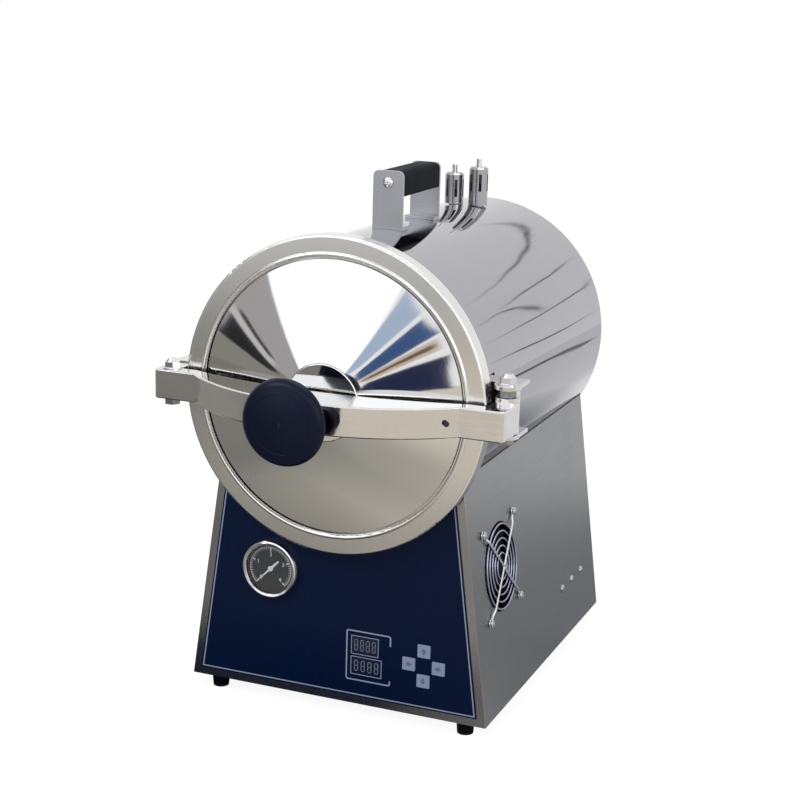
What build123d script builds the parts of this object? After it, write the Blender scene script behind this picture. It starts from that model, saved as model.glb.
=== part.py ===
"""Tabletop steam autoclave: a horizontal pressure chamber in a polished round casing on a tapered base,
closed by a dished door that a bowed swing arm carries and a black handwheel screws shut."""

import math
import os

from build123d import *

os.makedirs("parts", exist_ok=True)

# Clearances and sheet, in millimetres. The front looks along -Y and +Z is up.
clearance = 0.3
running_gap = 0.08
seat_gap = 0.05
sheet = 1.5

# Feet and tapered base
foot_height = 14.0
foot_radius = 9.5
foot_inset_x = 26.0
foot_inset_y = 13.5
foot_screw_radius = 2.5
foot_screw_depth = 8.0
base_half_width = 165.0
rear_room = 27.0
base_taper = 7.7
axis_rise = 326.0

# Round casing and pressure chamber
casing_radius = 149.0
casing_front = 4.0
casing_overhang = 12.0
end_lip = 10.0
chamber_radius = 125.0
chamber_wall = 2.5
chamber_length = 372.0
chamber_dish = 22.0
flange_radius = 146.5
flange_thickness = 18.0
insulation_thickness = 14.0

# Door
door_radius = 160.0
door_rim_depth = 18.0
door_rim_gap = 2.2
door_plate_thickness = 6.0
bead_radius = 141.4
bead_width = 4.4
bead_height = 2.0
groove_radius = 138.2
cone_radius = 136.6
cone_rise = 22.0
cone_sheet = 1.5
gasket_radius = 133.0
gasket_width = 11.0
gasket_height = 5.0
seal_gap = 0.2
boss_radius = 38.5
boss_proud = 1.2
boss_wall = 4.0

# Swing arm, its hinge and its catch
arm_half_length = 185.0
arm_bend = 141.0
arm_height = 30.0
arm_drop = 2.0
arm_end_front = 46.0
arm_end_back = 10.0
arm_bridge_back = 31.5
arm_front_bow = 101.0
arm_back_bow = 54.0
arm_wall = 4.0
arm_block_length = 23.0
grub_x = 133.0
grub_radius = 2.2
hinge_setback = 11.0
hinge_pin_radius = 5.0
hub_radius = 12.0
hub_height = 35.0
ear_radius = 13.0
ear_thickness = 4.0
ear_gap_below = 1.0
ear_gap_above = 8.0
web_back = 26.0
web_gap = 15.0
latch_setback = 15.0
latch_y = 35.0
latch_bolt_radius = 5.0
tongue_thickness = 12.0
tongue_length = 41.5
notch_slack = 1.2
nut_radius = 8.5
nut_height = 6.0
washer_radius = 9.5
washer_height = 1.4

# Handwheel and spindle
screw_radius = 8.0
screw_travel = 5.0
knob_radius = 42.0
knob_back = 118.0
knob_widest = 129.0
knob_reach = 142.0
knob_neck_radius = 17.0
knob_shoulder_radius = 30.0
collar_length = 84.0
collar_height = 23.0
collar_thickness = 10.0
bush_radius = 10.8

# Lifting handle
handle_front = 107.0
handle_length = 106.0
handle_width = 33.0
handle_rise = 60.0
handle_plate = 3.0
handle_foot = 14.0
grip_height = 27.0
grip_crown = 11.0
handle_screw_length = 20.0
handle_screw_radius = 2.0
handle_screw_head = 5.5
handle_screw_crown = 4.0

# Relief valves on top: side offset from the middle, body height above the casing and depth
valve_offset = 14.5
valve_setback = 59.0
valve_radius = 10.75
valve_rises = {"exhaust": 35.0, "safety": 43.0}
valve_neck_radius = 6.0
valve_wall = 3.0
valve_hole_radius = 1.6
valve_hole_count = 6
stem_radius = 3.2
stem_rise = 10.0
stem_lift = 3.0
stem_collar_radius = 6.5
stem_collar_height = 3.0

# Pressure gauge in the front
gauge_x = -73.5
gauge_rise = 132.0
bezel_radius = 31.0
bezel_depth = 8.0
bezel_width = 4.5
gauge_neck = 27.7
gauge_depth = 25.0
dial_thickness = 0.8
glass_thickness = 1.5
needle_length = 19.0
needle_tail = 7.0
needle_zero = 225.0

# Control panel
panel_margin = 8.5
overlay_thickness = 0.8
overlay_gap = 3.0
key_size = 14.0
key_spacing = 16.0
key_x = 97.0
key_rise = 54.5
key_proud = 0.8
key_flange = 1.2
key_travel = 0.6
upper_display = (32.5, 64.5, 28.0, 18.0)
lower_display = (34.3, 42.2, 32.0, 17.5)
board_stand = 7.5
board_thickness = 1.6
board_size = (106.0, 62.0)
board_x = 66.0
board_rise = 54.0

# Fan in the right side
fan_y = 84.0
fan_rise = 142.0
fan_screw_spacing = 92.0
fan_size = 106.0
fan_bore = 46.5
fan_depth = 25.0
fan_hub_radius = 19.0
fan_blades = 7
fan_blade_tilt = 38.0
fan_pin_radius = 3.0
guard_radii = [14.0, 21.5, 29.0, 36.5, 44.0]
guard_wire = 2.4
guard_proud = 5.0
fan_screw_radius = 2.0
fan_screw_head = 4.4
fan_screw_length = 18.0
fan_screw_crown = 2.6

# Dome-headed screws low on the right side
dome_spacing = 35.5
dome_setback = 88.0
dome_rise = 56.5
dome_radius = 4.8
dome_shank = 2.0
dome_shank_length = 10.0
dome_height = 2.4
dome_count = 3

# Trays and their rack
tray_width = 184.0
tray_room = 32.0
tray_height = 16.0
tray_sheet = 1.0
tray_levels = [-58.0, -12.0, 34.0]
rack_half_width = 96.0
rack_sheet = 1.5
rack_lip = 8.0
rack_front = 12.0

# Heater, drain and electrics
heater_radius = 4.0
heater_drop = 111.0
heater_half_width = 34.0
drain_x = 92.0
drain_rise = 46.0
drain_setback = 59.0
pipe_radius = 4.0
pipe_bend = 16.0
solenoid_size = (30.0, 34.0, 30.0)
coil_size = (24.0, 26.0, 34.0)
spigot_radius = 5.0
spigot_length = 25.0
spigot_bore = 2.0
spigot_nut_radius = 9.0
spigot_nut_height = 5.0
inlet_x = -92.0
inlet_rise = 60.0
inlet_size = (50.0, 72.0)
inlet_socket = (26.0, 18.0)
inlet_depth = 20.0
blade_length = 8.0
rocker_size = (19.0, 13.0)
rocker_rise = 20.0
rocker_tilt = 7.0
rocker_pin_radius = 1.0
transformer_size = (84.0, 62.0, 70.0)
transformer_x = -62.0
transformer_setback = 159.0
vent_slot = (60.0, 4.0)
vent_count = 7

# Places that follow from the driving dimensions
base_depth = chamber_length + rear_room
valve_depth = base_depth - valve_setback
drain_depth = base_depth - drain_setback
transformer_depth = base_depth - transformer_setback
tray_length = chamber_length - tray_room
hinge_x = arm_half_length - hinge_setback
latch_x = arm_half_length - latch_setback
arm_block_inner = arm_half_length - arm_block_length
base_z = foot_height
axis_z = base_z + axis_rise
slope = math.tan(math.radians(base_taper))
side_wall = sheet / math.cos(math.radians(base_taper))
front_y = (knob_reach - base_depth - spigot_length) / 2
rear_y = front_y + base_depth
casing_rear = rear_y + casing_overhang
casing_top = axis_z + casing_radius
casing_inner = casing_radius - sheet
vessel_radius = chamber_radius + chamber_wall
chamber_axis = Axis((0, 0, axis_z), (0, 1, 0))
seal_y = front_y - casing_front
rim_back = seal_y - door_rim_gap
rim_front = rim_back - door_rim_depth
plate_front = rim_back - door_plate_thickness
cone_front = rim_front + 1.0 - cone_rise
boss_front = cone_front - boss_proud
arm_low = axis_z - arm_drop - arm_height / 2
arm_top = arm_low + arm_height
hub_top = arm_low + hub_height
hinge_y = seal_y
ear_low = arm_low - ear_gap_below
ear_high = hub_top + ear_gap_above
bolt_reach = nut_height + washer_height + 2


def deep(depth):
    """Y of a place at this depth behind the base's front face."""
    return front_y + depth


def side_x(z):
    """Half width of the base's outer face at height z."""
    return base_half_width - (z - base_z) * slope


def side_meets_casing():
    """Height at which the sloping side meets the round casing, on the casing's lower half."""
    half = side_x(axis_z)
    a = 1 + slope**2
    b = 2 * half * slope
    c = half**2 - casing_radius**2
    return axis_z - (math.sqrt(b**2 - 4 * a * c) - b) / (2 * a)


side_top_z = side_meets_casing()


def facing(y):
    """Upright plane at depth y whose sketches are seen from the front and extrude towards the front."""
    return Plane.XZ.offset(-y)


def level(z):
    """Flat plane at height z."""
    return Plane.XY.offset(z)


def on_side(depth, rise):
    """Plane on the right side's outer face: x to the rear, y up the slope, z outwards."""
    z = base_z + rise
    normal = (math.cos(math.radians(base_taper)), 0, math.sin(math.radians(base_taper)))
    return Plane(origin=(side_x(z), deep(depth), z), x_dir=(0, 1, 0), z_dir=normal)


def dome_sag(depth, radius, at):
    """How far a shallow dome of this depth and rim radius has fallen from its crown at another radius."""
    ball = (radius**2 + depth**2) / (2 * depth)
    return ball - math.sqrt(ball**2 - at**2)


def save(part, name):
    part.label = name
    export_step(part, f"parts/{name}.step")


def ring_profile(points, centre_z=axis_z):
    """Closed half section in the YZ plane from (depth y, radius) pairs, to be turned about a Y axis."""
    Polygon(*[(y, centre_z + r) for y, r in points])


def base_outline(inset, scoop):
    """Front view of the base: a tapered shape whose top is scooped out around the casing."""
    low = base_z + inset
    Polygon(
        (-side_x(low) + inset, low),
        (side_x(low) - inset, low),
        (side_x(side_top_z) - inset, side_top_z),
        (-side_x(side_top_z) + inset, side_top_z),
    )
    with Locations((0, axis_z)):
        Circle(scoop, mode=Mode.SUBTRACT)


# Base pan, which stands on four rubber feet
pan_half_width = side_x(base_z + sheet) - side_wall - clearance
foot_places = [
    (sign * (base_half_width - foot_inset_x), y)
    for sign in (-1, 1)
    for y in (deep(foot_inset_y), rear_y - foot_inset_y)
]
with BuildPart() as base_pan:
    with BuildSketch(level(base_z)):
        with Locations((0, (front_y + rear_y) / 2)):
            Rectangle(2 * pan_half_width, base_depth - 2 * sheet - 2 * clearance)
        with Locations(*foot_places):
            Circle(foot_screw_radius + clearance, mode=Mode.SUBTRACT)
        with Locations((0, deep(base_depth * 0.4))):
            with GridLocations(2 * vent_slot[0], 3 * vent_slot[1], 1, vent_count):
                SlotOverall(*vent_slot, mode=Mode.SUBTRACT)
    extrude(amount=sheet)
save(base_pan.part, "base_pan")

with BuildPart() as feet:
    with Locations(*[(x, y, 0) for x, y in foot_places]):
        Cone(foot_radius - 1.2, foot_radius, foot_height, align=(Align.CENTER, Align.CENTER, Align.MIN))
    with Locations(*[(x, y, foot_height) for x, y in foot_places]):
        Hole(foot_screw_radius + seat_gap, depth=foot_screw_depth + clearance)
save(feet.part, "feet")

screw_head = (4.5, 3.0)
with BuildPart() as foot_screws:
    with Locations(*[(x, y, foot_height - foot_screw_depth) for x, y in foot_places]):
        Cylinder(
            foot_screw_radius,
            foot_screw_depth + sheet,
            align=(Align.CENTER, Align.CENTER, Align.MIN),
        )
    with Locations(*[(x, y, base_z + sheet) for x, y in foot_places]):
        Cylinder(*screw_head, align=(Align.CENTER, Align.CENTER, Align.MIN))
save(foot_screws.part, "foot_screws")

# Sloping sides: the right one carries the fan and the dome-headed screws
fan_plane = on_side(fan_y, fan_rise)
dome_plane = on_side(base_depth - dome_setback, dome_rise)


def side_panel(sign):
    """Sloping side sheet, trimmed to the casing. The right side, sign 1, has the fan's openings."""
    with BuildPart() as panel:
        with BuildSketch(facing(rear_y - sheet - clearance)):
            Polygon(
                (sign * side_x(base_z), base_z),
                (sign * side_x(side_top_z), side_top_z),
                (sign * (side_x(side_top_z) - side_wall), side_top_z),
                (sign * (side_x(base_z) - side_wall), base_z),
            )
            with Locations((0, axis_z)):
                Circle(casing_radius + clearance, mode=Mode.SUBTRACT)
        extrude(amount=base_depth - 2 * sheet - 2 * clearance)
        if sign > 0:
            with BuildSketch(fan_plane):
                Circle(fan_bore)
                with GridLocations(fan_screw_spacing, fan_screw_spacing, 2, 2):
                    Circle(fan_screw_radius + clearance)
            extrude(amount=-2 * sheet, mode=Mode.SUBTRACT)
            with BuildSketch(dome_plane):
                with GridLocations(dome_spacing, 1, dome_count, 1):
                    Circle(dome_shank + clearance)
            extrude(amount=-2 * sheet, mode=Mode.SUBTRACT)
    return panel.part


save(side_panel(-1), "side_panel_left")
save(side_panel(1), "side_panel_right")

# Front plate with the holes for the gauge, the keys and the displays
gauge_z = base_z + gauge_rise
key_z = base_z + key_rise
key_places = {
    "key_up": (key_x, key_z + key_spacing),
    "key_left": (key_x - key_spacing, key_z),
    "key_right": (key_x + key_spacing, key_z),
    "key_down": (key_x, key_z - key_spacing),
}
display_places = [(x, base_z + rise, w, h) for x, rise, w, h in (upper_display, lower_display)]
board_z = base_z + board_rise
board_corners = [
    (board_x + sx * (board_size[0] / 2 - 5), board_z + sz * (board_size[1] / 2 - 5))
    for sx in (-1, 1)
    for sz in (-1, 1)
]


def panel_cutouts():
    """Openings through the front for the gauge, the keys and the displays."""
    with Locations((gauge_x, gauge_z)):
        Circle(gauge_neck + clearance, mode=Mode.SUBTRACT)
    with Locations(*key_places.values()):
        Rectangle(key_size + 2 * clearance, key_size + 2 * clearance, mode=Mode.SUBTRACT)
    for x, z, width, height in display_places:
        with Locations((x, z)):
            Rectangle(width + 2 * clearance, height + 2 * clearance, mode=Mode.SUBTRACT)


with BuildPart() as front_plate:
    with BuildSketch(facing(deep(sheet))):
        base_outline(0, casing_radius + clearance)
        panel_cutouts()
    extrude(amount=sheet)
    with BuildSketch(facing(deep(sheet + board_stand))):
        with Locations(*board_corners):
            Circle(2.5)
    extrude(amount=board_stand)
save(front_plate.part, "front_plate")

with BuildPart() as control_overlay:
    with BuildSketch(facing(front_y)):
        base_outline(panel_margin, casing_radius + overlay_gap)
        panel_cutouts()
    extrude(amount=overlay_thickness)
save(control_overlay.part, "control_overlay")

key_front = front_y - overlay_thickness - key_proud
key_stop = deep(sheet + seat_gap)
for name, (x, z) in key_places.items():
    with BuildPart() as key:
        with BuildSketch(facing(key_stop + key_flange)):
            with Locations((x, z)):
                Rectangle(key_size + 1.6, key_size + 1.6)
        extrude(amount=key_flange)
        with BuildSketch(facing(key_stop)):
            with Locations((x, z)):
                RectangleRounded(key_size, key_size, 1.2)
        extrude(amount=key_stop - key_front)
        fillet(key.faces().sort_by(Axis.Y)[0].edges(), 0.5)
    save(key.part, name)

with BuildPart() as display_windows:
    for x, z, width, height in display_places:
        with BuildSketch(facing(deep(sheet))):
            with Locations((x, z)):
                Rectangle(width, height)
        extrude(amount=sheet + overlay_thickness - 0.2)
save(display_windows.part, "display_windows")

board_y = deep(sheet + board_stand)
with BuildPart() as display_board:
    with BuildSketch(facing(board_y + board_thickness + seat_gap)):
        with Locations((board_x, board_z)):
            Rectangle(*board_size)
    extrude(amount=board_thickness)
    for x, z, width, height in display_places:
        with BuildSketch(facing(board_y + seat_gap)):
            with Locations((x, z)):
                Rectangle(width, height)
        extrude(amount=board_stand - clearance)
    with BuildSketch(facing(board_y + seat_gap)):
        with Locations(*key_places.values()):
            Circle(2.0)
    extrude(amount=board_stand - key_flange - key_travel - clearance)
save(display_board.part, "display_board")

# Pressure gauge: case, chrome bezel, dial, needle and glass
gauge_axis = Axis((gauge_x, 0, gauge_z), (0, 1, 0))
gauge_plane = Plane.YZ.offset(gauge_x)
bezel_back = front_y - overlay_thickness - seat_gap
bezel_front = bezel_back - bezel_depth
bezel_bore = gauge_neck + seat_gap
bezel_lip = 1.6
glass_front = bezel_front + bezel_lip
glass_back = glass_front + glass_thickness
dial_back = front_y - overlay_thickness - 1.4
dial_front = dial_back - dial_thickness
case_back = deep(gauge_depth)
with BuildPart() as gauge_case:
    with BuildSketch(gauge_plane):
        ring_profile(
            [
                (dial_back, gauge_neck),
                (case_back, gauge_neck),
                (case_back, 0),
                (case_back - sheet, 0),
                (case_back - sheet, gauge_neck - sheet),
                (dial_back, gauge_neck - sheet),
            ],
            gauge_z,
        )
    revolve(axis=gauge_axis)
    with BuildSketch(facing(case_back + 8)):
        with Locations((gauge_x, gauge_z)):
            Circle(5)
    extrude(amount=8)
save(gauge_case.part, "gauge_case")

with BuildPart() as gauge_bezel:
    with BuildSketch(gauge_plane):
        ring_profile(
            [
                (bezel_back, bezel_bore),
                (bezel_back, bezel_radius),
                (bezel_front + 3, bezel_radius),
                (bezel_front + 0.8, bezel_radius - 1),
                (bezel_front, bezel_radius - 2.4),
                (bezel_front + 0.6, bezel_radius - bezel_width),
                (glass_front, bezel_radius - bezel_width - 0.5),
                (glass_front, bezel_bore),
            ],
            gauge_z,
        )
    revolve(axis=gauge_axis)
save(gauge_bezel.part, "gauge_bezel")

needle_pin = 1.2
with BuildPart() as gauge_dial:
    with BuildSketch(facing(dial_back)):
        with Locations((gauge_x, gauge_z)):
            Circle(gauge_neck)
            Circle(needle_pin + running_gap, mode=Mode.SUBTRACT)
    extrude(amount=dial_thickness)
save(gauge_dial.part, "gauge_dial")

needle_back = dial_front - 0.5
needle_thickness = 0.5
needle_hub = 2.8
needle_plane = Plane(origin=(gauge_x, needle_back, gauge_z), x_dir=(1, 0, 0), z_dir=(0, -1, 0))
with BuildPart() as gauge_needle:
    with BuildSketch(needle_plane):
        with PolarLocations(0, 1, start_angle=needle_zero):
            Polygon((-needle_tail, -1.3), (needle_length, -0.35), (needle_length, 0.35), (-needle_tail, 1.3))
        Circle(needle_hub)
    extrude(amount=needle_thickness)
    with BuildSketch(needle_plane):
        Circle(needle_pin)
    extrude(amount=-(case_back - sheet - clearance - needle_back))
save(gauge_needle.part, "gauge_needle")

with BuildPart() as gauge_glass:
    with BuildSketch(facing(glass_back + seat_gap)):
        with Locations((gauge_x, gauge_z)):
            Circle(gauge_neck)
    extrude(amount=glass_thickness)
save(gauge_glass.part, "gauge_glass")

# Rear panel with its louvres, power module and drain spigot
inlet_z = base_z + inlet_rise
drain_z = base_z + drain_rise
module_body = (inlet_size[0] - 14, inlet_size[1] - 12)
with BuildPart() as rear_panel:
    with BuildSketch(facing(rear_y)):
        base_outline(0, casing_radius + clearance)
        with Locations((inlet_x, inlet_z)):
            Rectangle(module_body[0] + 2 * clearance, module_body[1] + 2 * clearance, mode=Mode.SUBTRACT)
        with Locations((drain_x, drain_z)):
            Circle(spigot_radius + clearance, mode=Mode.SUBTRACT)
        with Locations((0, base_z + base_depth * 0.22)):
            with GridLocations(1, 3 * vent_slot[1], 1, vent_count):
                SlotOverall(*vent_slot, mode=Mode.SUBTRACT)
    extrude(amount=sheet)
save(rear_panel.part, "rear_panel")

module_front = rear_y + seat_gap
module_flange = 2.5
socket_z = inlet_z - inlet_size[1] / 2 + 24
rocker_z = inlet_z + rocker_rise
rocker_axis_y = module_front - 5.0
with BuildPart() as power_inlet:
    with BuildSketch(facing(module_front + module_flange)):
        with Locations((inlet_x, inlet_z)):
            RectangleRounded(*inlet_size, 5)
    extrude(amount=module_flange)
    with BuildSketch(facing(module_front)):
        with Locations((inlet_x, inlet_z)):
            Rectangle(*module_body)
    extrude(amount=inlet_depth)
    with BuildSketch(facing(module_front + module_flange)):
        with Locations((inlet_x, socket_z)):
            Rectangle(*inlet_socket)
            chamfer(vertices().group_by(Axis.Y)[-1], 4)
    extrude(amount=inlet_depth - 3, mode=Mode.SUBTRACT)
    with BuildSketch(facing(module_front + module_flange)):
        with Locations((inlet_x, rocker_z)):
            Rectangle(rocker_size[0] + 2 * clearance, rocker_size[1] + 1.2)
    extrude(amount=inlet_depth - 6, mode=Mode.SUBTRACT)
    with BuildSketch(facing(module_front - inlet_depth + 5)):
        with Locations((inlet_x - 7, socket_z - 2), (inlet_x, socket_z + 3), (inlet_x + 7, socket_z - 2)):
            Rectangle(2, 6)
    extrude(amount=-blade_length)
    with BuildSketch(Plane.YZ.offset(inlet_x - rocker_size[0] / 2 - clearance)):
        with Locations((rocker_axis_y, rocker_z)):
            Circle(rocker_pin_radius)
    extrude(amount=rocker_size[0] + 2 * clearance)
save(power_inlet.part, "power_inlet")

rocker_reach = module_flange + 5.0 + 1.5
with BuildPart() as power_rocker:
    with BuildSketch(Plane.YZ.offset(inlet_x - rocker_size[0] / 2)):
        with Locations(Location((rocker_axis_y, rocker_z, 0), (0, 0, rocker_tilt))):
            Polygon(
                (0, -rocker_size[1] / 2 + 1.6),
                (rocker_reach - 0.6, -rocker_size[1] / 2 + 1.0),
                (rocker_reach - 1.6, 0),
                (rocker_reach - 0.6, rocker_size[1] / 2 - 1.0),
                (0, rocker_size[1] / 2 - 1.6),
                (-3.5, 0),
            )
        with Locations((rocker_axis_y, rocker_z)):
            Circle(rocker_pin_radius + running_gap, mode=Mode.SUBTRACT)
    extrude(amount=rocker_size[0])
save(power_rocker.part, "power_rocker")

# Casing: a rolled shell notched for the hinge and catch, with a pressed end
lug_low = ear_low - ear_thickness
lug_high = ear_high + ear_thickness
with BuildPart() as casing_shell:
    with BuildSketch(facing(casing_rear - sheet)):
        with Locations((0, axis_z)):
            Circle(casing_radius)
            Circle(casing_inner, mode=Mode.SUBTRACT)
    extrude(amount=casing_rear - sheet - seal_y)
    with BuildSketch(level(casing_top)):
        with Locations((-valve_offset, deep(valve_depth)), (valve_offset, deep(valve_depth))):
            Circle(valve_neck_radius + clearance)
        with Locations(
            (0, deep(handle_front + handle_foot)), (0, deep(handle_front + handle_length - handle_foot))
        ):
            Circle(2 + clearance)
    extrude(amount=-casing_radius / 2, mode=Mode.SUBTRACT)
    with BuildSketch(level(axis_z - casing_radius)):
        with Locations((0, deep(drain_depth))):
            Circle(pipe_radius + 2)
    extrude(amount=casing_radius / 2, mode=Mode.SUBTRACT)
    with BuildSketch(facing(seal_y + web_gap + web_back)):
        for sign in (-1, 1):
            with Locations((sign * casing_radius, (lug_low + lug_high) / 2)):
                Rectangle(casing_radius / 2, lug_high - lug_low + 2 * clearance)
    extrude(amount=web_gap + web_back, mode=Mode.SUBTRACT)
save(casing_shell.part, "casing_shell")

end_inner = casing_inner - seat_gap
with BuildPart() as casing_end:
    with BuildSketch(Plane.YZ):
        ring_profile(
            [
                (casing_rear, 0),
                (casing_rear, casing_radius - 1.5),
                (casing_rear - sheet, casing_radius),
                (casing_rear - sheet, end_inner),
                (casing_rear - end_lip, end_inner),
                (casing_rear - end_lip, end_inner - sheet),
                (casing_rear - sheet, end_inner - sheet),
                (casing_rear - sheet, 0),
            ]
        )
    revolve(axis=chamber_axis)
save(casing_end.part, "casing_end")

# Pressure vessel with its dished rear head, and the flange that the door seals against
vessel_back = seal_y + chamber_length
inner_dish = chamber_dish - chamber_wall
dish_outside = vessel_back + chamber_dish
dish_inside = vessel_back + inner_dish
inner_middle = axis_z + chamber_radius / 2
outer_middle = axis_z + vessel_radius / 2
with BuildPart() as pressure_vessel:
    with BuildSketch(Plane.YZ):
        with BuildLine():
            Polyline(
                (dish_outside, axis_z),
                (dish_inside, axis_z),
            )
            ThreePointArc(
                (dish_inside, axis_z),
                (dish_inside - dome_sag(inner_dish, chamber_radius, chamber_radius / 2), inner_middle),
                (vessel_back, axis_z + chamber_radius),
            )
            Polyline(
                (vessel_back, axis_z + chamber_radius),
                (seal_y, axis_z + chamber_radius),
                (seal_y, axis_z + vessel_radius),
                (vessel_back, axis_z + vessel_radius),
            )
            ThreePointArc(
                (vessel_back, axis_z + vessel_radius),
                (dish_outside - dome_sag(chamber_dish, vessel_radius, vessel_radius / 2), outer_middle),
                (dish_outside, axis_z),
            )
        make_face()
    revolve(axis=chamber_axis)
    with BuildSketch(facing(vessel_back + 2 * chamber_dish)):
        with Locations(
            (-heater_half_width, axis_z - heater_drop), (heater_half_width, axis_z - heater_drop)
        ):
            Circle(heater_radius + seat_gap)
    extrude(amount=3 * chamber_dish, mode=Mode.SUBTRACT)
    with BuildSketch(level(axis_z)):
        with Locations((-valve_offset, deep(valve_depth)), (valve_offset, deep(valve_depth))):
            Circle(valve_neck_radius / 2)
    extrude(amount=2 * chamber_radius, mode=Mode.SUBTRACT)
    with BuildSketch(level(axis_z)):
        with Locations((0, deep(drain_depth))):
            Circle(pipe_radius - 1)
    extrude(amount=-2 * chamber_radius, mode=Mode.SUBTRACT)
save(pressure_vessel.part, "pressure_vessel")

with BuildPart() as vessel_flange:
    with BuildSketch(facing(seal_y + flange_thickness)):
        with Locations((0, axis_z)):
            Circle(flange_radius)
            Circle(vessel_radius + seat_gap, mode=Mode.SUBTRACT)
    extrude(amount=flange_thickness)
save(vessel_flange.part, "vessel_flange")

with BuildPart() as insulation:
    with BuildSketch(facing(vessel_back)):
        with Locations((0, axis_z)):
            Circle(vessel_radius + insulation_thickness)
            Circle(vessel_radius + clearance, mode=Mode.SUBTRACT)
    extrude(amount=chamber_length - flange_thickness - clearance)
    with BuildSketch(level(axis_z)):
        with Locations((-valve_offset, deep(valve_depth)), (valve_offset, deep(valve_depth))):
            Circle(valve_neck_radius + clearance)
    extrude(amount=casing_radius, mode=Mode.SUBTRACT)
    with BuildSketch(level(axis_z)):
        with Locations((0, deep(drain_depth))):
            Circle(pipe_radius + clearance)
    extrude(amount=-casing_radius, mode=Mode.SUBTRACT)
save(insulation.part, "insulation")

# Tray rack: two sheet sides with bent runners, joined by cross straps, and its three trays
rack_y = seal_y + rack_front
rack_half_height = math.sqrt((chamber_radius - clearance) ** 2 - (rack_half_width + rack_sheet) ** 2)
with BuildPart() as tray_rack:
    for sign in (-1, 1):
        with BuildSketch(facing(rack_y + tray_length)):
            with Locations((sign * (rack_half_width + rack_sheet / 2), axis_z)):
                Rectangle(rack_sheet, 2 * rack_half_height)
            for rise in tray_levels:
                with Locations(
                    (sign * (rack_half_width - (rack_lip - rack_sheet) / 2), axis_z + rise - rack_sheet / 2)
                ):
                    Rectangle(rack_lip + rack_sheet, rack_sheet)
        extrude(amount=tray_length)
    strap = 16.0
    for y in (rack_y + strap, rack_y + tray_length):
        with BuildSketch(facing(y)):
            with Locations((0, axis_z - rack_half_height + rack_sheet / 2)):
                Rectangle(2 * rack_half_width, rack_sheet)
        extrude(amount=strap)
save(tray_rack.part, "tray_rack")

tray_corner = 10.0
tray_slot = (22.0, 6.0)
with BuildPart() as trays:
    for rise in tray_levels:
        low = axis_z + rise + seat_gap
        with BuildSketch(level(low)):
            with Locations((0, rack_y + tray_length / 2)):
                RectangleRounded(tray_width, tray_length, tray_corner)
        extrude(amount=tray_height)
        with BuildSketch(level(low + tray_sheet)):
            with Locations((0, rack_y + tray_length / 2)):
                RectangleRounded(
                    tray_width - 2 * tray_sheet, tray_length - 2 * tray_sheet, tray_corner - tray_sheet
                )
        extrude(amount=tray_height, mode=Mode.SUBTRACT)
        with BuildSketch(level(low)):
            with Locations((0, rack_y + tray_length / 2)):
                with GridLocations(tray_width / 4, tray_length / 6, 3, 5):
                    SlotOverall(*tray_slot)
        extrude(amount=tray_sheet, mode=Mode.SUBTRACT)
save(trays.part, "trays")

heater_setback = 40.0
heater_tail = 10.0
heater_z = axis_z - heater_drop
heater_front = rack_y + heater_setback
heater_back = vessel_back + chamber_dish + heater_tail
with BuildPart() as heater:
    with BuildLine():
        Line((-heater_half_width, heater_back, heater_z), (-heater_half_width, heater_front, heater_z))
        ThreePointArc(
            (-heater_half_width, heater_front, heater_z),
            (0, heater_front - heater_half_width, heater_z),
            (heater_half_width, heater_front, heater_z),
        )
        Line((heater_half_width, heater_front, heater_z), (heater_half_width, heater_back, heater_z))
    with BuildSketch(facing(heater_back)):
        with Locations((-heater_half_width, heater_z)):
            Circle(heater_radius)
    sweep()
save(heater.part, "heater")

# Door: turned rim and plate, polished cone, boss for the spindle, and the gasket
gasket_inner = gasket_radius - gasket_width / 2
gasket_outer = gasket_radius + gasket_width / 2
gasket_front = seal_y - seal_gap - gasket_height
with BuildPart() as door_plate:
    with BuildSketch(Plane.YZ):
        with BuildLine():
            Polyline(
                (rim_front, axis_z + bead_radius - bead_width / 2),
                (rim_front, axis_z + groove_radius),
                (rim_front + 4, axis_z + groove_radius),
                (plate_front, axis_z + groove_radius),
                (plate_front, axis_z),
                (rim_back, axis_z),
                (rim_back, axis_z + gasket_inner - seat_gap),
                (gasket_front - seat_gap, axis_z + gasket_inner - seat_gap),
                (gasket_front - seat_gap, axis_z + gasket_outer + seat_gap),
                (rim_back, axis_z + gasket_outer + seat_gap),
                (rim_back, axis_z + door_radius),
                (rim_front, axis_z + door_radius),
                (rim_front, axis_z + bead_radius + bead_width / 2),
            )
            ThreePointArc(
                (rim_front, axis_z + bead_radius + bead_width / 2),
                (rim_front - bead_height, axis_z + bead_radius),
                (rim_front, axis_z + bead_radius - bead_width / 2),
            )
        make_face()
    revolve(axis=chamber_axis)
    outer_edges = door_plate.edges().filter_by(GeomType.CIRCLE).filter_by(
        lambda edge: abs(edge.radius - door_radius) < 0.01
    )
    fillet(outer_edges.sort_by(Axis.Y)[0], 2.5)
save(door_plate.part, "door_plate")

cone_root = rim_front + 1.0
cone_hole = boss_radius + clearance
with BuildPart() as door_cover:
    with BuildSketch(Plane.YZ):
        ring_profile(
            [
                (plate_front - seat_gap, cone_radius),
                (cone_root, cone_radius),
                (cone_front, cone_hole),
                (cone_front + cone_sheet, cone_hole),
                (cone_root + cone_sheet, cone_radius - cone_sheet),
                (plate_front - seat_gap, cone_radius - cone_sheet),
            ]
        )
    revolve(axis=chamber_axis)
save(door_cover.part, "door_cover")

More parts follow.
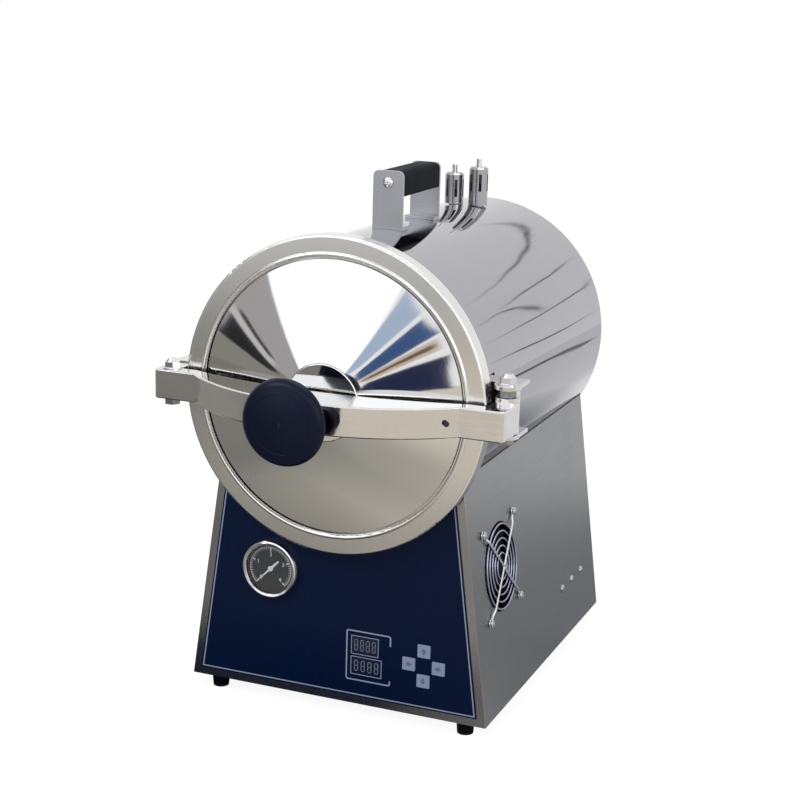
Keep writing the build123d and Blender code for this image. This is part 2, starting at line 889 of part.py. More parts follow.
spindle_flange = 12.0
spindle_flange_width = 6.0
boss_inner = boss_front + boss_wall
with BuildPart() as door_boss:
    with BuildSketch(Plane.YZ):
        ring_profile(
            [
                (boss_front, screw_radius + running_gap),
                (boss_front, boss_radius),
                (plate_front - seat_gap, boss_radius),
                (plate_front - seat_gap, spindle_flange + clearance),
                (boss_inner, spindle_flange + clearance),
                (boss_inner, screw_radius + running_gap),
            ]
        )
    revolve(axis=chamber_axis)
    boss_rim = door_boss.edges().filter_by(GeomType.CIRCLE).filter_by(
        lambda edge: abs(edge.radius - boss_radius) < 0.01
    )
    fillet(boss_rim.sort_by(Axis.Y)[0], 1.0)
save(door_boss.part, "door_boss")

with BuildPart() as door_gasket:
    with BuildSketch(Plane.YZ):
        ring_profile(
            [
                (gasket_front, gasket_inner),
                (gasket_front, gasket_outer),
                (seal_y - seal_gap, gasket_outer),
                (seal_y - seal_gap - 1.2, gasket_radius),
                (seal_y - seal_gap, gasket_inner),
            ]
        )
    revolve(axis=chamber_axis)
save(door_gasket.part, "door_gasket")

# Spindle and handwheel
collar_front = deep(-arm_front_bow - collar_thickness)
knob_back_y = deep(-knob_back)
knob_front_y = deep(-knob_reach)
knob_wide_y = deep(-knob_widest)
knob_dome = knob_reach - knob_widest - 8
dome_edge = knob_radius - 5.5
spindle_front = knob_wide_y - 2
flange_front = boss_inner + clearance / 2
with BuildPart() as spindle:
    with BuildSketch(Plane.YZ):
        ring_profile(
            [
                (spindle_front, 0),
                (spindle_front, screw_radius - 1),
                (spindle_front + 1, screw_radius),
                (flange_front, screw_radius),
                (flange_front, spindle_flange),
                (flange_front + spindle_flange_width, spindle_flange),
                (flange_front + spindle_flange_width, screw_radius),
                (plate_front - clearance, screw_radius - 3),
                (plate_front - clearance, 0),
            ]
        )
    revolve(axis=chamber_axis)
save(spindle.part, "spindle")

with BuildPart() as handwheel:
    with BuildSketch(Plane.YZ):
        with BuildLine():
            Polyline(
                (knob_front_y, axis_z),
                (spindle_front - seat_gap, axis_z),
                (spindle_front - seat_gap, axis_z + screw_radius + seat_gap),
                (knob_back_y, axis_z + screw_radius + seat_gap),
                (knob_back_y, axis_z + knob_neck_radius),
                (knob_back_y - 3, axis_z + knob_shoulder_radius),
            )
            ThreePointArc(
                (knob_back_y - 3, axis_z + knob_shoulder_radius),
                (knob_wide_y + 3.2, axis_z + knob_radius - 1.6),
                (knob_wide_y, axis_z + knob_radius),
            )
            ThreePointArc(
                (knob_wide_y, axis_z + knob_radius),
                (knob_wide_y - 4.5, axis_z + knob_radius - 1.4),
                (knob_front_y + knob_dome, axis_z + dome_edge),
            )
            ThreePointArc(
                (knob_front_y + knob_dome, axis_z + dome_edge),
                (knob_front_y + dome_sag(knob_dome, dome_edge, dome_edge / 2), axis_z + dome_edge / 2),
                (knob_front_y, axis_z),
            )
        make_face()
    revolve(axis=chamber_axis)
save(handwheel.part, "handwheel")

# Swing arm: a bowed channel with a fork block at its left end and a hinge hub at its right end
block_left = -arm_half_length
block_right = hinge_x + hub_radius
end_front_y = deep(-arm_end_front)
end_back_y = deep(-arm_end_back)
bridge_back_y = deep(-arm_bridge_back)
bow_front_y = deep(-arm_front_bow)
bow_back_y = deep(-arm_back_bow)
with BuildPart() as swing_arm:
    with BuildSketch(level(arm_low)):
        with BuildLine():
            Line((block_left, end_front_y), (-arm_bend, end_front_y))
            ThreePointArc((-arm_bend, end_front_y), (0, bow_front_y), (arm_bend, end_front_y))
            Polyline((arm_bend, end_front_y), (block_right, end_front_y), (block_right, hinge_y))
            ThreePointArc(
                (block_right, hinge_y), (hinge_x, hinge_y + hub_radius), (hinge_x - hub_radius, hinge_y)
            )
            Polyline(
                (hinge_x - hub_radius, hinge_y),
                (arm_block_inner, bridge_back_y),
                (arm_bend, bridge_back_y),
            )
            ThreePointArc((arm_bend, bridge_back_y), (0, bow_back_y), (-arm_bend, bridge_back_y))
            Polyline(
                (-arm_bend, bridge_back_y),
                (-arm_block_inner, bridge_back_y),
                (-arm_block_inner, end_back_y),
                (block_left, end_back_y),
                (block_left, end_front_y),
            )
        make_face()
    extrude(amount=arm_height)
    fillet(swing_arm.edges().filter_by(Axis.Z).group_by(Axis.X)[0], 4)
    fillet(swing_arm.edges().filter_by(Axis.Z).group_by(Axis.X)[-1].sort_by(Axis.Y)[0], 6)
    for level_face in swing_arm.faces().filter_by(Plane.XY):
        front_edges = level_face.outer_wire().edges().filter_by(
            lambda edge: edge.center().Y < end_front_y + arm_wall
        )
        chamfer(front_edges, 1.2)
    with BuildSketch(level(arm_low + arm_wall)):
        with BuildLine():
            ThreePointArc(
                (-arm_bend, end_front_y + 2 * arm_wall),
                (0, bow_front_y + arm_wall),
                (arm_bend, end_front_y + 2 * arm_wall),
            )
            Polyline(
                (arm_bend, end_front_y + 2 * arm_wall),
                (arm_bend, hinge_y),
                (-arm_bend, hinge_y),
                (-arm_bend, end_front_y + 2 * arm_wall),
            )
        make_face()
        with Locations((0, bow_back_y)):
            Rectangle(2 * bush_radius + 2 * arm_wall, 2 * arm_front_bow, mode=Mode.SUBTRACT)
    extrude(amount=arm_height - 2 * arm_wall, mode=Mode.SUBTRACT)
    with BuildSketch(facing(bridge_back_y)):
        with Locations((0, axis_z)):
            Circle(bush_radius + seat_gap)
    extrude(amount=arm_front_bow, mode=Mode.SUBTRACT)
    with BuildSketch(level(axis_z - tongue_thickness / 2 - clearance)):
        with Locations((block_left, end_front_y + arm_wall + tongue_length)):
            Rectangle(2 * (arm_half_length - arm_block_inner) + 1, 2 * tongue_length)
    extrude(amount=tongue_thickness + 2 * clearance, mode=Mode.SUBTRACT)
    with BuildSketch(level(arm_top)):
        with Locations((hinge_x, hinge_y)):
            Circle(hub_radius)
    extrude(amount=hub_height - arm_height)
    with BuildSketch(level(arm_low)):
        with Locations((hinge_x, hinge_y)):
            Circle(hinge_pin_radius + running_gap)
        with Locations((-latch_x, deep(-latch_y))):
            Circle(latch_bolt_radius + seat_gap)
    extrude(amount=2 * hub_height, mode=Mode.SUBTRACT)
    with BuildSketch(facing(end_front_y)):
        with Locations((grub_x, arm_low + arm_height / 2)):
            Circle(grub_radius)
    extrude(amount=arm_wall, both=True, mode=Mode.SUBTRACT)
save(swing_arm.part, "swing_arm")

with BuildPart() as arm_bush:
    with BuildSketch(Plane.YZ):
        ring_profile(
            [
                (bow_front_y + 1, screw_radius + running_gap),
                (bow_front_y + 1, bush_radius),
                (bow_back_y, bush_radius),
                (bow_back_y, screw_radius + running_gap),
            ]
        )
    revolve(axis=chamber_axis)
save(arm_bush.part, "arm_bush")

bow_rise = arm_front_bow - arm_end_front
bow_radius = (arm_bend**2 + bow_rise**2) / (2 * bow_rise)
with BuildPart() as spindle_collar:
    with BuildSketch(facing(bow_front_y + collar_thickness)):
        with Locations((0, axis_z)):
            SlotOverall(collar_length, collar_height)
            Circle(screw_radius + 1, mode=Mode.SUBTRACT)
    extrude(amount=2 * collar_thickness)
    chamfer(spindle_collar.faces().sort_by(Axis.Y)[0].outer_wire().edges(), 2)
    with BuildSketch(level(axis_z - collar_height)):
        with Locations((0, bow_front_y + bow_radius)):
            Circle(bow_radius + seat_gap)
    extrude(amount=2 * collar_height, mode=Mode.SUBTRACT)
save(spindle_collar.part, "spindle_collar")


def bolt(x, y, low, high, radius, shoulder=None):
    """Upright bolt with a hexagon head below and a plain shank above, shouldered over one stretch."""
    with BuildPart() as piece:
        with BuildSketch(level(low - seat_gap)):
            with Locations((x, y)):
                RegularPolygon(nut_radius, 6)
        extrude(amount=-nut_height)
        with BuildSketch(level(low - seat_gap)):
            with Locations((x, y)):
                Circle(radius)
        extrude(amount=high - low + bolt_reach)
        if shoulder:
            with BuildSketch(level(shoulder[0])):
                with Locations((x, y)):
                    Circle(nut_radius)
            extrude(amount=shoulder[1] - shoulder[0])
    return piece.part


def domed_nut(x, y, low, radius):
    """Hexagon nut with a domed top, on its washer."""
    with BuildPart() as piece:
        with BuildSketch(level(low + seat_gap)):
            with Locations((x, y)):
                Circle(washer_radius)
        extrude(amount=washer_height)
        with BuildSketch(level(low + washer_height)):
            with Locations((x, y)):
                RegularPolygon(nut_radius, 6)
        extrude(amount=nut_height)
        with Locations((x, y, low + washer_height + nut_height - 1)):
            Cone(nut_radius - 1.5, nut_radius - 4, 4, align=(Align.CENTER, Align.CENTER, Align.MIN))
        with BuildSketch(level(low)):
            with Locations((x, y)):
                Circle(radius + seat_gap)
        extrude(amount=bolt_reach + seat_gap, mode=Mode.SUBTRACT)
    return piece.part


latch_place = (-latch_x, deep(-latch_y))
save(bolt(*latch_place, arm_low, arm_top, latch_bolt_radius), "latch_bolt")
save(domed_nut(*latch_place, arm_top, latch_bolt_radius), "latch_nut")

# Hinge and catch brackets, welded to the vessel's flange through the casing's notches
web_front_y = hinge_y + web_gap
web_back_y = deep(web_back)
hinge_shoulder = (hub_top + clearance, ear_high - seat_gap)
with BuildPart() as hinge_bracket:
    for low in (ear_low - ear_thickness, ear_high):
        with BuildSketch(level(low)):
            with Locations((hinge_x, hinge_y)):
                Circle(ear_radius)
            Polygon(
                (casing_radius * 0.9, hinge_y + 5),
                (hinge_x, hinge_y + 5),
                (hinge_x + ear_radius - 1, hinge_y + 2),
                (hinge_x + ear_radius - 1, web_back_y),
                (casing_radius * 0.9, web_back_y),
            )
        extrude(amount=ear_thickness)
    with BuildSketch(level(ear_low)):
        with Locations(((casing_radius * 0.9 + hinge_x + 3) / 2, (web_front_y + web_back_y) / 2)):
            Rectangle(hinge_x + 3 - casing_radius * 0.9, web_back_y - web_front_y)
    extrude(amount=ear_high - ear_low)
    with BuildSketch(facing(web_back_y + web_gap)):
        with Locations((0, axis_z)):
            Circle(flange_radius + seat_gap)
    extrude(amount=web_back + 4 * web_gap, mode=Mode.SUBTRACT)
    with BuildSketch(level(lug_low)):
        with Locations((hinge_x, hinge_y)):
            Circle(hinge_pin_radius + seat_gap)
    extrude(amount=lug_high - lug_low, mode=Mode.SUBTRACT)
save(hinge_bracket.part, "hinge_bracket")
save(
    bolt(hinge_x, hinge_y, lug_low, lug_high, hinge_pin_radius, hinge_shoulder),
    "hinge_pin",
)
save(domed_nut(hinge_x, hinge_y, lug_high, hinge_pin_radius), "hinge_nut")

catch_outer = hinge_x + ear_radius
catch_front_y = hinge_y + 5
tongue_front_y = deep(-tongue_length)
notch_y = deep(-latch_y) + latch_bolt_radius + notch_slack
tongue_outer = arm_half_length - 1.0
with BuildPart() as catch_bracket:
    with BuildSketch(level(axis_z - tongue_thickness / 2)):
        with Locations((-(tongue_outer + arm_block_inner) / 2, (tongue_front_y + web_back_y) / 2)):
            Rectangle(tongue_outer - arm_block_inner, web_back_y - tongue_front_y)
        with Locations((-latch_x, notch_y - latch_bolt_radius - notch_slack)):
            Circle(latch_bolt_radius + notch_slack, mode=Mode.SUBTRACT)
        with Locations((-latch_x, (notch_y + tongue_front_y) / 2 - latch_bolt_radius)):
            Rectangle(
                2 * (latch_bolt_radius + notch_slack),
                notch_y - tongue_front_y,
                mode=Mode.SUBTRACT,
            )
    extrude(amount=tongue_thickness)
    with BuildSketch(level(arm_low)):
        with Locations((-(catch_outer + casing_radius * 0.9) / 2, (catch_front_y + web_back_y) / 2)):
            Rectangle(catch_outer - casing_radius * 0.9, web_back_y - catch_front_y)
    extrude(amount=arm_height)
    fillet(catch_bracket.edges().filter_by(Axis.Z).group_by(Axis.X)[0], 2)
    with BuildSketch(facing(web_back_y + web_gap)):
        with Locations((0, axis_z)):
            Circle(flange_radius + seat_gap)
    extrude(amount=web_back + 4 * web_gap, mode=Mode.SUBTRACT)
save(catch_bracket.part, "catch_bracket")

# Lifting handle on top of the casing
handle_y = (deep(handle_front), deep(handle_front + handle_length))
handle_top = casing_top + handle_rise
grip_z = handle_top - grip_height
screw_z = handle_top - 0.45 * grip_height
with BuildPart() as handle_plates:
    for y, foot_side in ((handle_y[0], 1), (handle_y[1], -1)):
        with BuildSketch(facing(max(y, y + foot_side * handle_plate))):
            with Locations((0, (casing_top - 2 + handle_top) / 2)):
                Rectangle(handle_width, handle_top - casing_top + 2)
            fillet(vertices().group_by(Axis.Y)[-1], 6)
            with Locations((0, screw_z)):
                Circle(handle_screw_radius + seat_gap, mode=Mode.SUBTRACT)
        extrude(amount=handle_plate)
        with BuildSketch(level(casing_top - 2)):
            with Locations((0, y + foot_side * (handle_plate + handle_foot) / 2)):
                Rectangle(handle_width, handle_foot + handle_plate)
        extrude(amount=2 + handle_plate)
    with BuildSketch(facing(handle_y[1] + handle_foot)):
        with Locations((0, axis_z)):
            Circle(casing_radius + seat_gap)
    extrude(amount=handle_length + 2 * handle_foot, mode=Mode.SUBTRACT)
save(handle_plates.part, "handle_plates")

grip_front = handle_y[0] + handle_plate + seat_gap
grip_back = handle_y[1] - handle_plate - seat_gap
with BuildPart() as handle_grip:
    with BuildSketch(facing(grip_back)):
        with Locations((0, grip_z + grip_height / 2)):
            Rectangle(handle_width, grip_height)
        fillet(vertices().group_by(Axis.Y)[-1], grip_crown)
        fillet(vertices().group_by(Axis.Y)[0], 5)
    extrude(amount=grip_back - grip_front)
    with BuildSketch(facing(grip_back)):
        with Locations((0, screw_z)):
            Circle(handle_screw_radius + seat_gap)
    extrude(amount=grip_back - grip_front, mode=Mode.SUBTRACT)
save(handle_grip.part, "handle_grip")

with BuildPart() as handle_screws:
    for y, out in ((handle_y[0], -1), (handle_y[1], 1)):
        with BuildSketch(facing(y + out * seat_gap)):
            with Locations((0, screw_z)):
                Circle(handle_screw_radius)
        extrude(amount=out * handle_screw_length)
        with BuildSketch(facing(y + out * seat_gap)):
            with Locations((0, screw_z)):
                Circle(handle_screw_head)
        extrude(amount=-out * handle_screw_crown, taper=20)
save(handle_screws.part, "handle_screws")

# Relief valves: a hollow body with a ring of outlet holes and a stem that lifts
valve_floor = casing_top + 4.0
for name, side in (("exhaust", -1), ("safety", 1)):
    x = side * valve_offset
    y = deep(valve_depth)
    top = casing_top + valve_rises[name]
    cavity_top = top - 5.0
    with BuildPart(Plane.XY) as valve_body:
        with BuildSketch(level(casing_top + clearance)):
            with Locations((x, y)):
                Circle(valve_radius)
        extrude(amount=top - casing_top - clearance)
        chamfer(valve_body.faces().sort_by(Axis.Z)[-1].edges(), 2.2)
        with BuildSketch(level(casing_top + clearance)):
            with Locations((x, y)):
                Circle(valve_neck_radius)
        extrude(amount=-(casing_radius - vessel_radius - 0.5))
        with BuildSketch(level(valve_floor)):
            with Locations((x, y)):
                Circle(valve_radius - valve_wall)
        extrude(amount=cavity_top - valve_floor, mode=Mode.SUBTRACT)
        with BuildSketch(level(cavity_top)):
            with Locations((x, y)):
                Circle(stem_radius + running_gap)
        extrude(amount=top - cavity_top, mode=Mode.SUBTRACT)
        with Locations(Location((x, y, cavity_top - 6))):
            with PolarLocations(0, valve_hole_count):
                Cylinder(
                    valve_hole_radius,
                    valve_radius + 1,
                    rotation=(0, 90, 0),
                    align=(Align.CENTER, Align.CENTER, Align.MIN),
                    mode=Mode.SUBTRACT,
                )
    save(valve_body.part, f"{name}_valve_body")
    with BuildPart() as stem:
        with BuildSketch(level(valve_floor + 0.3)):
            with Locations((x, y)):
                Circle(stem_radius)
        extrude(amount=top + stem_rise - valve_floor - 0.3)
        chamfer(stem.faces().sort_by(Axis.Z)[-1].edges(), 0.8)
        with BuildSketch(level(valve_floor + 0.3)):
            with Locations((x, y)):
                Circle(stem_collar_radius)
        extrude(amount=stem_collar_height)
    save(stem.part, f"{name}_valve_stem")

# Fan, guard and screws, square to the sloping side
fan_back = fan_plane.offset(-sheet - seat_gap)
fan_floor = 3.0
with BuildPart() as fan_frame:
    with BuildSketch(fan_back):
        RectangleRounded(fan_size, fan_size, 7)
        Circle(fan_bore, mode=Mode.SUBTRACT)
        with GridLocations(fan_screw_spacing, fan_screw_spacing, 2, 2):
            Circle(fan_screw_radius + seat_gap, mode=Mode.SUBTRACT)
    extrude(amount=-fan_depth)
    with BuildSketch(fan_back.offset(-fan_depth)):
        Circle(fan_hub_radius)
        with PolarLocations(0, 4, start_angle=45):
            with Locations((fan_bore / 2 + 1, 0)):
                Rectangle(fan_bore + 2, 5)
    extrude(amount=fan_floor)
    with BuildSketch(fan_back.offset(-fan_depth + fan_floor)):
        Circle(fan_pin_radius)
    extrude(amount=fan_depth / 2)
save(fan_frame.part, "fan_frame")

rotor_back = fan_back.offset(-fan_depth + fan_floor + 0.8)
rotor_depth = fan_depth - fan_floor - 3.0
with BuildPart() as fan_rotor:
    with BuildSketch(rotor_back):
        Circle(fan_hub_radius)
    extrude(amount=rotor_depth)
    with Locations(rotor_back.offset(rotor_depth / 2).location):
        with PolarLocations(0, fan_blades):
            Box(
                fan_bore - 2.0,
                1.6,
                rotor_depth + 1.5,
                rotation=(fan_blade_tilt, 0, 0),
                align=(Align.MIN, Align.CENTER, Align.CENTER),
            )
    with BuildSketch(rotor_back):
        Circle(fan_bore - 2.5)
    extrude(amount=rotor_depth, mode=Mode.INTERSECT)
    with BuildSketch(rotor_back):
        Circle(fan_pin_radius + running_gap)
    extrude(amount=fan_depth / 2 - 0.8 + clearance, mode=Mode.SUBTRACT)
save(fan_rotor.part, "fan_rotor")

guard_plane = fan_plane.offset(guard_proud)
leg_plane = guard_plane.offset(-guard_wire)
with BuildPart() as fan_guard:
    with BuildSketch(guard_plane):
        for radius in guard_radii:
            Circle(radius + guard_wire / 2)
            Circle(radius - guard_wire / 2, mode=Mode.SUBTRACT)
    extrude(amount=-guard_wire)
    with BuildSketch(leg_plane):
        for angle in (45, 135):
            with Locations(Rotation(0, 0, angle)):
                Rectangle(2 * fan_screw_spacing / math.sqrt(2) + 4, guard_wire)
        with GridLocations(fan_screw_spacing, fan_screw_spacing, 2, 2):
            Circle(fan_screw_head)
            Circle(fan_screw_radius + clearance, mode=Mode.SUBTRACT)
    extrude(amount=-(guard_proud - guard_wire - seat_gap))
save(fan_guard.part, "fan_guard")

screw_seat = fan_plane.offset(guard_proud - guard_wire + seat_gap)
with BuildPart() as fan_screws:
    with BuildSketch(screw_seat):
        with GridLocations(fan_screw_spacing, fan_screw_spacing, 2, 2):
            Circle(fan_screw_radius)
    extrude(amount=-fan_screw_length)
    with BuildSketch(screw_seat):
        with GridLocations(fan_screw_spacing, fan_screw_spacing, 2, 2):
            Circle(fan_screw_head)
    extrude(amount=fan_screw_crown, taper=25)
save(fan_screws.part, "fan_screws")

with BuildPart() as dome_screws:
    with BuildSketch(dome_plane.offset(seat_gap)):
        with GridLocations(dome_spacing, 1, dome_count, 1):
            Circle(dome_shank)
    extrude(amount=-dome_shank_length)
    with BuildSketch(dome_plane.offset(seat_gap)):
        with GridLocations(dome_spacing, 1, dome_count, 1):
            Circle(dome_radius)
    extrude(amount=dome_height, taper=30)
save(dome_screws.part, "dome_screws")

# Exhaust line: pipe from the vessel's floor, solenoid valve on the pan and the rear spigot
solenoid_y = deep(drain_depth)
solenoid_low = drain_z - solenoid_size[2] / 2
solenoid_high = drain_z + solenoid_size[2] / 2
pipe_top = axis_z - vessel_radius - clearance
pipe_turn = (pipe_top + solenoid_high) / 2
with BuildPart() as exhaust_pipe:
    with BuildLine():
        FilletPolyline(
            (0, solenoid_y, pipe_top),
            (0, solenoid_y, pipe_turn),
            (drain_x, solenoid_y, pipe_turn),
            (drain_x, solenoid_y, solenoid_high + seat_gap),
            radius=pipe_bend,
        )
    with BuildSketch(level(pipe_top)):
        with Locations((0, solenoid_y)):
            Circle(pipe_radius)
    sweep()
save(exhaust_pipe.part, "exhaust_pipe")

with BuildPart() as solenoid_valve:
    with Locations((drain_x, solenoid_y, drain_z)):
        Box(*solenoid_size)
    with Locations((drain_x, solenoid_y - solenoid_size[1] / 2 - coil_size[1] / 2, drain_z)):
        Box(*coil_size)
    pan_top = base_z + sheet + seat_gap
    with Locations((drain_x, solenoid_y, (pan_top + solenoid_low) / 2)):
        Box(solenoid_size[0], sheet, solenoid_low - pan_top)
    with Locations((drain_x, solenoid_y, pan_top + sheet / 2)):
        Box(solenoid_size[0], solenoid_size[1], sheet)
save(solenoid_valve.part, "solenoid_valve")

spigot_front = solenoid_y + solenoid_size[1] / 2 + seat_gap
spigot_rear = rear_y + spigot_length
with BuildPart() as drain_spigot:
    with BuildSketch(facing(spigot_rear)):
        with Locations((drain_x, drain_z)):
            Circle(spigot_radius)
    extrude(amount=spigot_rear - spigot_front)
    with BuildSketch(facing(rear_y + seat_gap + spigot_nut_height)):
        with Locations((drain_x, drain_z)):
            RegularPolygon(spigot_nut_radius, 6)
    extrude(amount=spigot_nut_height)
    with BuildSketch(facing(spigot_rear)):
        with Locations((drain_x, drain_z)):
            Circle(spigot_bore)
    extrude(amount=spigot_rear - spigot_front, mode=Mode.SUBTRACT)
save(drain_spigot.part, "drain_spigot")

core_width, core_depth, core_height = transformer_size
transformer_z = base_z + sheet + seat_gap
with BuildPart() as transformer:
    with Locations((transformer_x, deep(transformer_depth), transformer_z + core_height / 2)):
        Box(core_width, core_depth * 0.5, core_height)
        Box(core_width * 0.62, core_depth, core_height * 0.66)
    with Locations((transformer_x, deep(transformer_depth), transformer_z)):
        Box(core_width + 24, core_depth * 0.5, 2, align=(Align.CENTER, Align.CENTER, Align.MIN))
save(transformer.part, "transformer")
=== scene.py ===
"""Dresses the tabletop autoclave: finishes for every solid, the fine pieces that the solids leave out,
and a plain pale studio seen from the front right."""

import math

import bpy
import numpy as np
from mathutils import Matrix, Vector


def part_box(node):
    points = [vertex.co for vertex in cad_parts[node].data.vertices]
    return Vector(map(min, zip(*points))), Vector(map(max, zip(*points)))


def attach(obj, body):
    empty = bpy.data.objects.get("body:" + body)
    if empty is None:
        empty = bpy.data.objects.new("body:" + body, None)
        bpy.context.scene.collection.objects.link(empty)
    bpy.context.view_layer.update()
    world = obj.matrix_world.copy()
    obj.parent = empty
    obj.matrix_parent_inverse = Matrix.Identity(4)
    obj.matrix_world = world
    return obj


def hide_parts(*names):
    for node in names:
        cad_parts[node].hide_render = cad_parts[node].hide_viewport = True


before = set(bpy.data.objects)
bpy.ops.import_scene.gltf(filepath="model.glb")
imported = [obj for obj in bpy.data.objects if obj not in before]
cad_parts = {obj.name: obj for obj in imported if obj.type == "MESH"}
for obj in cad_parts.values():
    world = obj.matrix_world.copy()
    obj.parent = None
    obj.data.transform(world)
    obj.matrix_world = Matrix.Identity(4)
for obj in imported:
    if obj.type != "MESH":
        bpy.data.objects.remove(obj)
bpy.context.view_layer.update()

bl_info = {
    "name": "Tabletop autoclave",
    "version": (1, 0, 0),
    "blender": (4, 5, 0),
    "location": "View3D > Sidebar > Autoclave",
    "description": "Finishes, trim and studio of a tabletop autoclave",
    "category": "Object",
}

MM = 0.001
# Places of the solids that the trim lies on, in metres: height of the casing's axis, front of the panel film,
# the gauge's centre (x, z), half width and height of the sloping sides' foot, and the fan's centre (y, z)
AXIS_Z = 0.340
OVERLAY_Y = -0.1418
GAUGE = (-0.0735, 0.146)
FOOT_HALF = 0.165
FOOT_Z = 0.014
SIDE_TILT = math.radians(7.7)
SLOPE = math.tan(SIDE_TILT)
FAN_Y = -0.057
FAN_Z = 0.156
# Half the distance between the fan's screws, level or up the slope
FAN_SCREWS = 0.046
RIGHT, REAR, UP = np.eye(3)
SQUARE = np.array([(-1, -1), (1, -1), (1, 1), (-1, 1)])


def linear(red, green, blue):
    """Scene-linear colour of an 8-bit display colour: each channel over 255, to the power 2.2."""
    return tuple((channel / 255) ** 2.2 for channel in (red, green, blue))


def tone(name, description, red, green, blue):
    """A colour property whose default is given in display values."""
    return bpy.props.FloatVectorProperty(
        name=name, description=description, subtype="COLOR", size=3, min=0, max=1,
        default=linear(red, green, blue),
    )


def length(name, description, millimetres):
    """A length property whose default is given in millimetres."""
    return bpy.props.FloatProperty(
        name=name, description=description, unit="LENGTH", min=0, default=millimetres * MM
    )


class AutoclaveColours(bpy.types.PropertyGroup):
    """Colours of the machine's finishes."""

    casing: tone("Casing", "Mirror-polished casing sheet", 162, 161, 166)
    cone: tone("Door cone", "Mirror-polished cone of the door", 226, 226, 225)
    satin: tone("Satin steel", "Turned and polished steel of the door rim", 226, 225, 222)
    arm: tone("Arm steel", "Polished steel of the swing arm and its brackets", 222, 221, 220)
    # The base's sides take this tint, darker than the front's same brushed sheet: painted shade on the sides;
    # the trays and vessel share it
    brushed: tone("Brushed steel", "Sheet of the base's sides, the trays and the vessel", 148, 148, 149)
    front: tone("Front steel", "Brushed sheet of the front, the rear and the handle", 172, 172, 176)
    chrome: tone("Chrome", "Bright plated fittings", 222, 222, 226)
    rings: tone("Guard rings", "Bluish plated wire of the fan guard's rings", 158, 164, 184)
    brass: tone("Brass", "Arm bush, solenoid valve and drain spigot", 196, 160, 92)
    navy: tone("Panel film", "Printed film of the control panel", 10, 29, 59)
    stripe: tone("Printed lines", "Pale blue-grey print on the panel", 150, 163, 190)
    key: tone("Keys", "Moulded caps of the four keys", 138, 153, 186)
    window: tone("Display windows", "Tinted display windows", 27, 36, 58)
    digit: tone("Display segments", "Unlit display segments", 122, 132, 150)
    knob: tone("Handwheel", "Blue-black phenolic of the handwheel", 13, 23, 46)
    black: tone("Black plastic", "Moulded grip, covers and fan", 12, 15, 27)
    rubber: tone("Rubber", "Feet", 9, 12, 15)
    silicone: tone("Silicone", "Door gasket", 205, 198, 188)
    foil: tone("Foil", "Foil face of the insulation under the casing", 150, 150, 154)
    dial: tone("Gauge dial", "Face of the pressure gauge", 10, 11, 14)
    mark: tone("Gauge marks", "Scale, numbers and needle of the gauge", 196, 198, 204)
    board: tone("Circuit board", "Display board", 22, 62, 38)
    iron: tone("Core iron", "Transformer core", 58, 56, 54)
    dust: tone("Dust", "Dust that settles on level faces", 150, 146, 138)


class AutoclaveSizes(bpy.types.PropertyGroup):
    """Sizes of the pieces that the solids leave out."""

    guard_wire: length("Guard wire", "Diameter of the wire in the fan guard's rings", 2.2)
    leg_wire: length("Guard legs", "Diameter of the wire in the fan guard's legs", 2.9)
    stripe_width: length("Pinstripe", "Width of the pale line round the panel", 1.3)
    stripe_inset: length("Pinstripe inset", "Distance of the pale line from the film's edge", 2.2)
    outline_width: length("Display outline", "Width of the line round the displays", 1.5)
    print_depth: length("Print depth", "Height of printed lines above the film", 0.06)
    # The seam is a plain dark line where the casing meets the sloping sides
    seam_width: length("Seam", "Diameter of the dark sealant under the casing", 1.8)


def angle(name, description, degrees):
    """An angle property whose default is given in degrees."""
    return bpy.props.FloatProperty(
        name=name, description=description, subtype="ANGLE", default=math.radians(degrees)
    )


def power(name, watts):
    """The power of a lamp."""
    description = f"Power of the {name.lower()} lamp"
    return bpy.props.FloatProperty(name=name, description=description, unit="POWER", default=watts)


class AutoclaveStudio(bpy.types.PropertyGroup):
    """Camera and light."""

    camera_place: bpy.props.FloatVectorProperty(
        name="Camera", description="Where the camera stands", subtype="TRANSLATION", size=3, unit="LENGTH",
        default=(0.67977, -1.67817, 0.75395),
    )
    azimuth: angle("Azimuth", "Camera's turn to the right", 21.87)
    elevation: angle("Elevation", "Camera's height above the horizon", 14.02)
    roll: angle("Roll", "Camera's tilt about its line of sight", 1.68)
    lens: bpy.props.FloatProperty(name="Lens", description="Focal length in millimetres", default=78.81)
    key_power: power("Key", 34)
    fill_power: power("Fill", 12)
    top_power: power("Top", 16)
    ambient: bpy.props.FloatProperty(
        name="Ambient", description="Level of the soft light all round", default=0.5
    )


# Mesh helpers


def grid_faces(rows, columns, wrap_rows=False, wrap_columns=False):
    """Four-sided faces of a grid of points, each joining a point to the next row and the next column."""
    i = np.arange(rows if wrap_rows else rows - 1)[:, None]
    j = np.arange(columns if wrap_columns else columns - 1)[None, :]
    i2, j2 = (i + 1) % rows, (j + 1) % columns
    corners = [i * columns + j, i2 * columns + j, i2 * columns + j2, i * columns + j2]
    return np.stack([np.broadcast_to(c, (i.size, j.size)).ravel() for c in corners], axis=1)


def joined(parts):
    """Several parts' points and faces as one, each part's face numbers raised by the points before it."""
    points, faces, start = [], [], 0
    for part_points, part_faces in parts:
        points.append(np.asarray(part_points, float).reshape(-1, 3))
        faces.extend((np.asarray(face) + start).tolist() for face in part_faces)
        start += len(points[-1])
    return np.concatenate(points), faces


def outward(points, faces):
    """The faces turned outwards: where the sum of each face's corner products, six times the volume, is
    negative, every face is read backwards."""
    volume = sum(
        np.dot(points[f[0]], np.cross(points[f[k]], points[f[k + 1]]))
        for f in faces for k in range(1, len(f) - 1)
    )
    return [list(f)[::-1] for f in faces] if volume < 0 else [list(f) for f in faces]


def add_object(name, data):
    """Makes an object of a mesh, a lamp or a camera and puts it in the scene."""
    made = bpy.data.objects.new(name, data)
    bpy.context.scene.collection.objects.link(made)
    return made


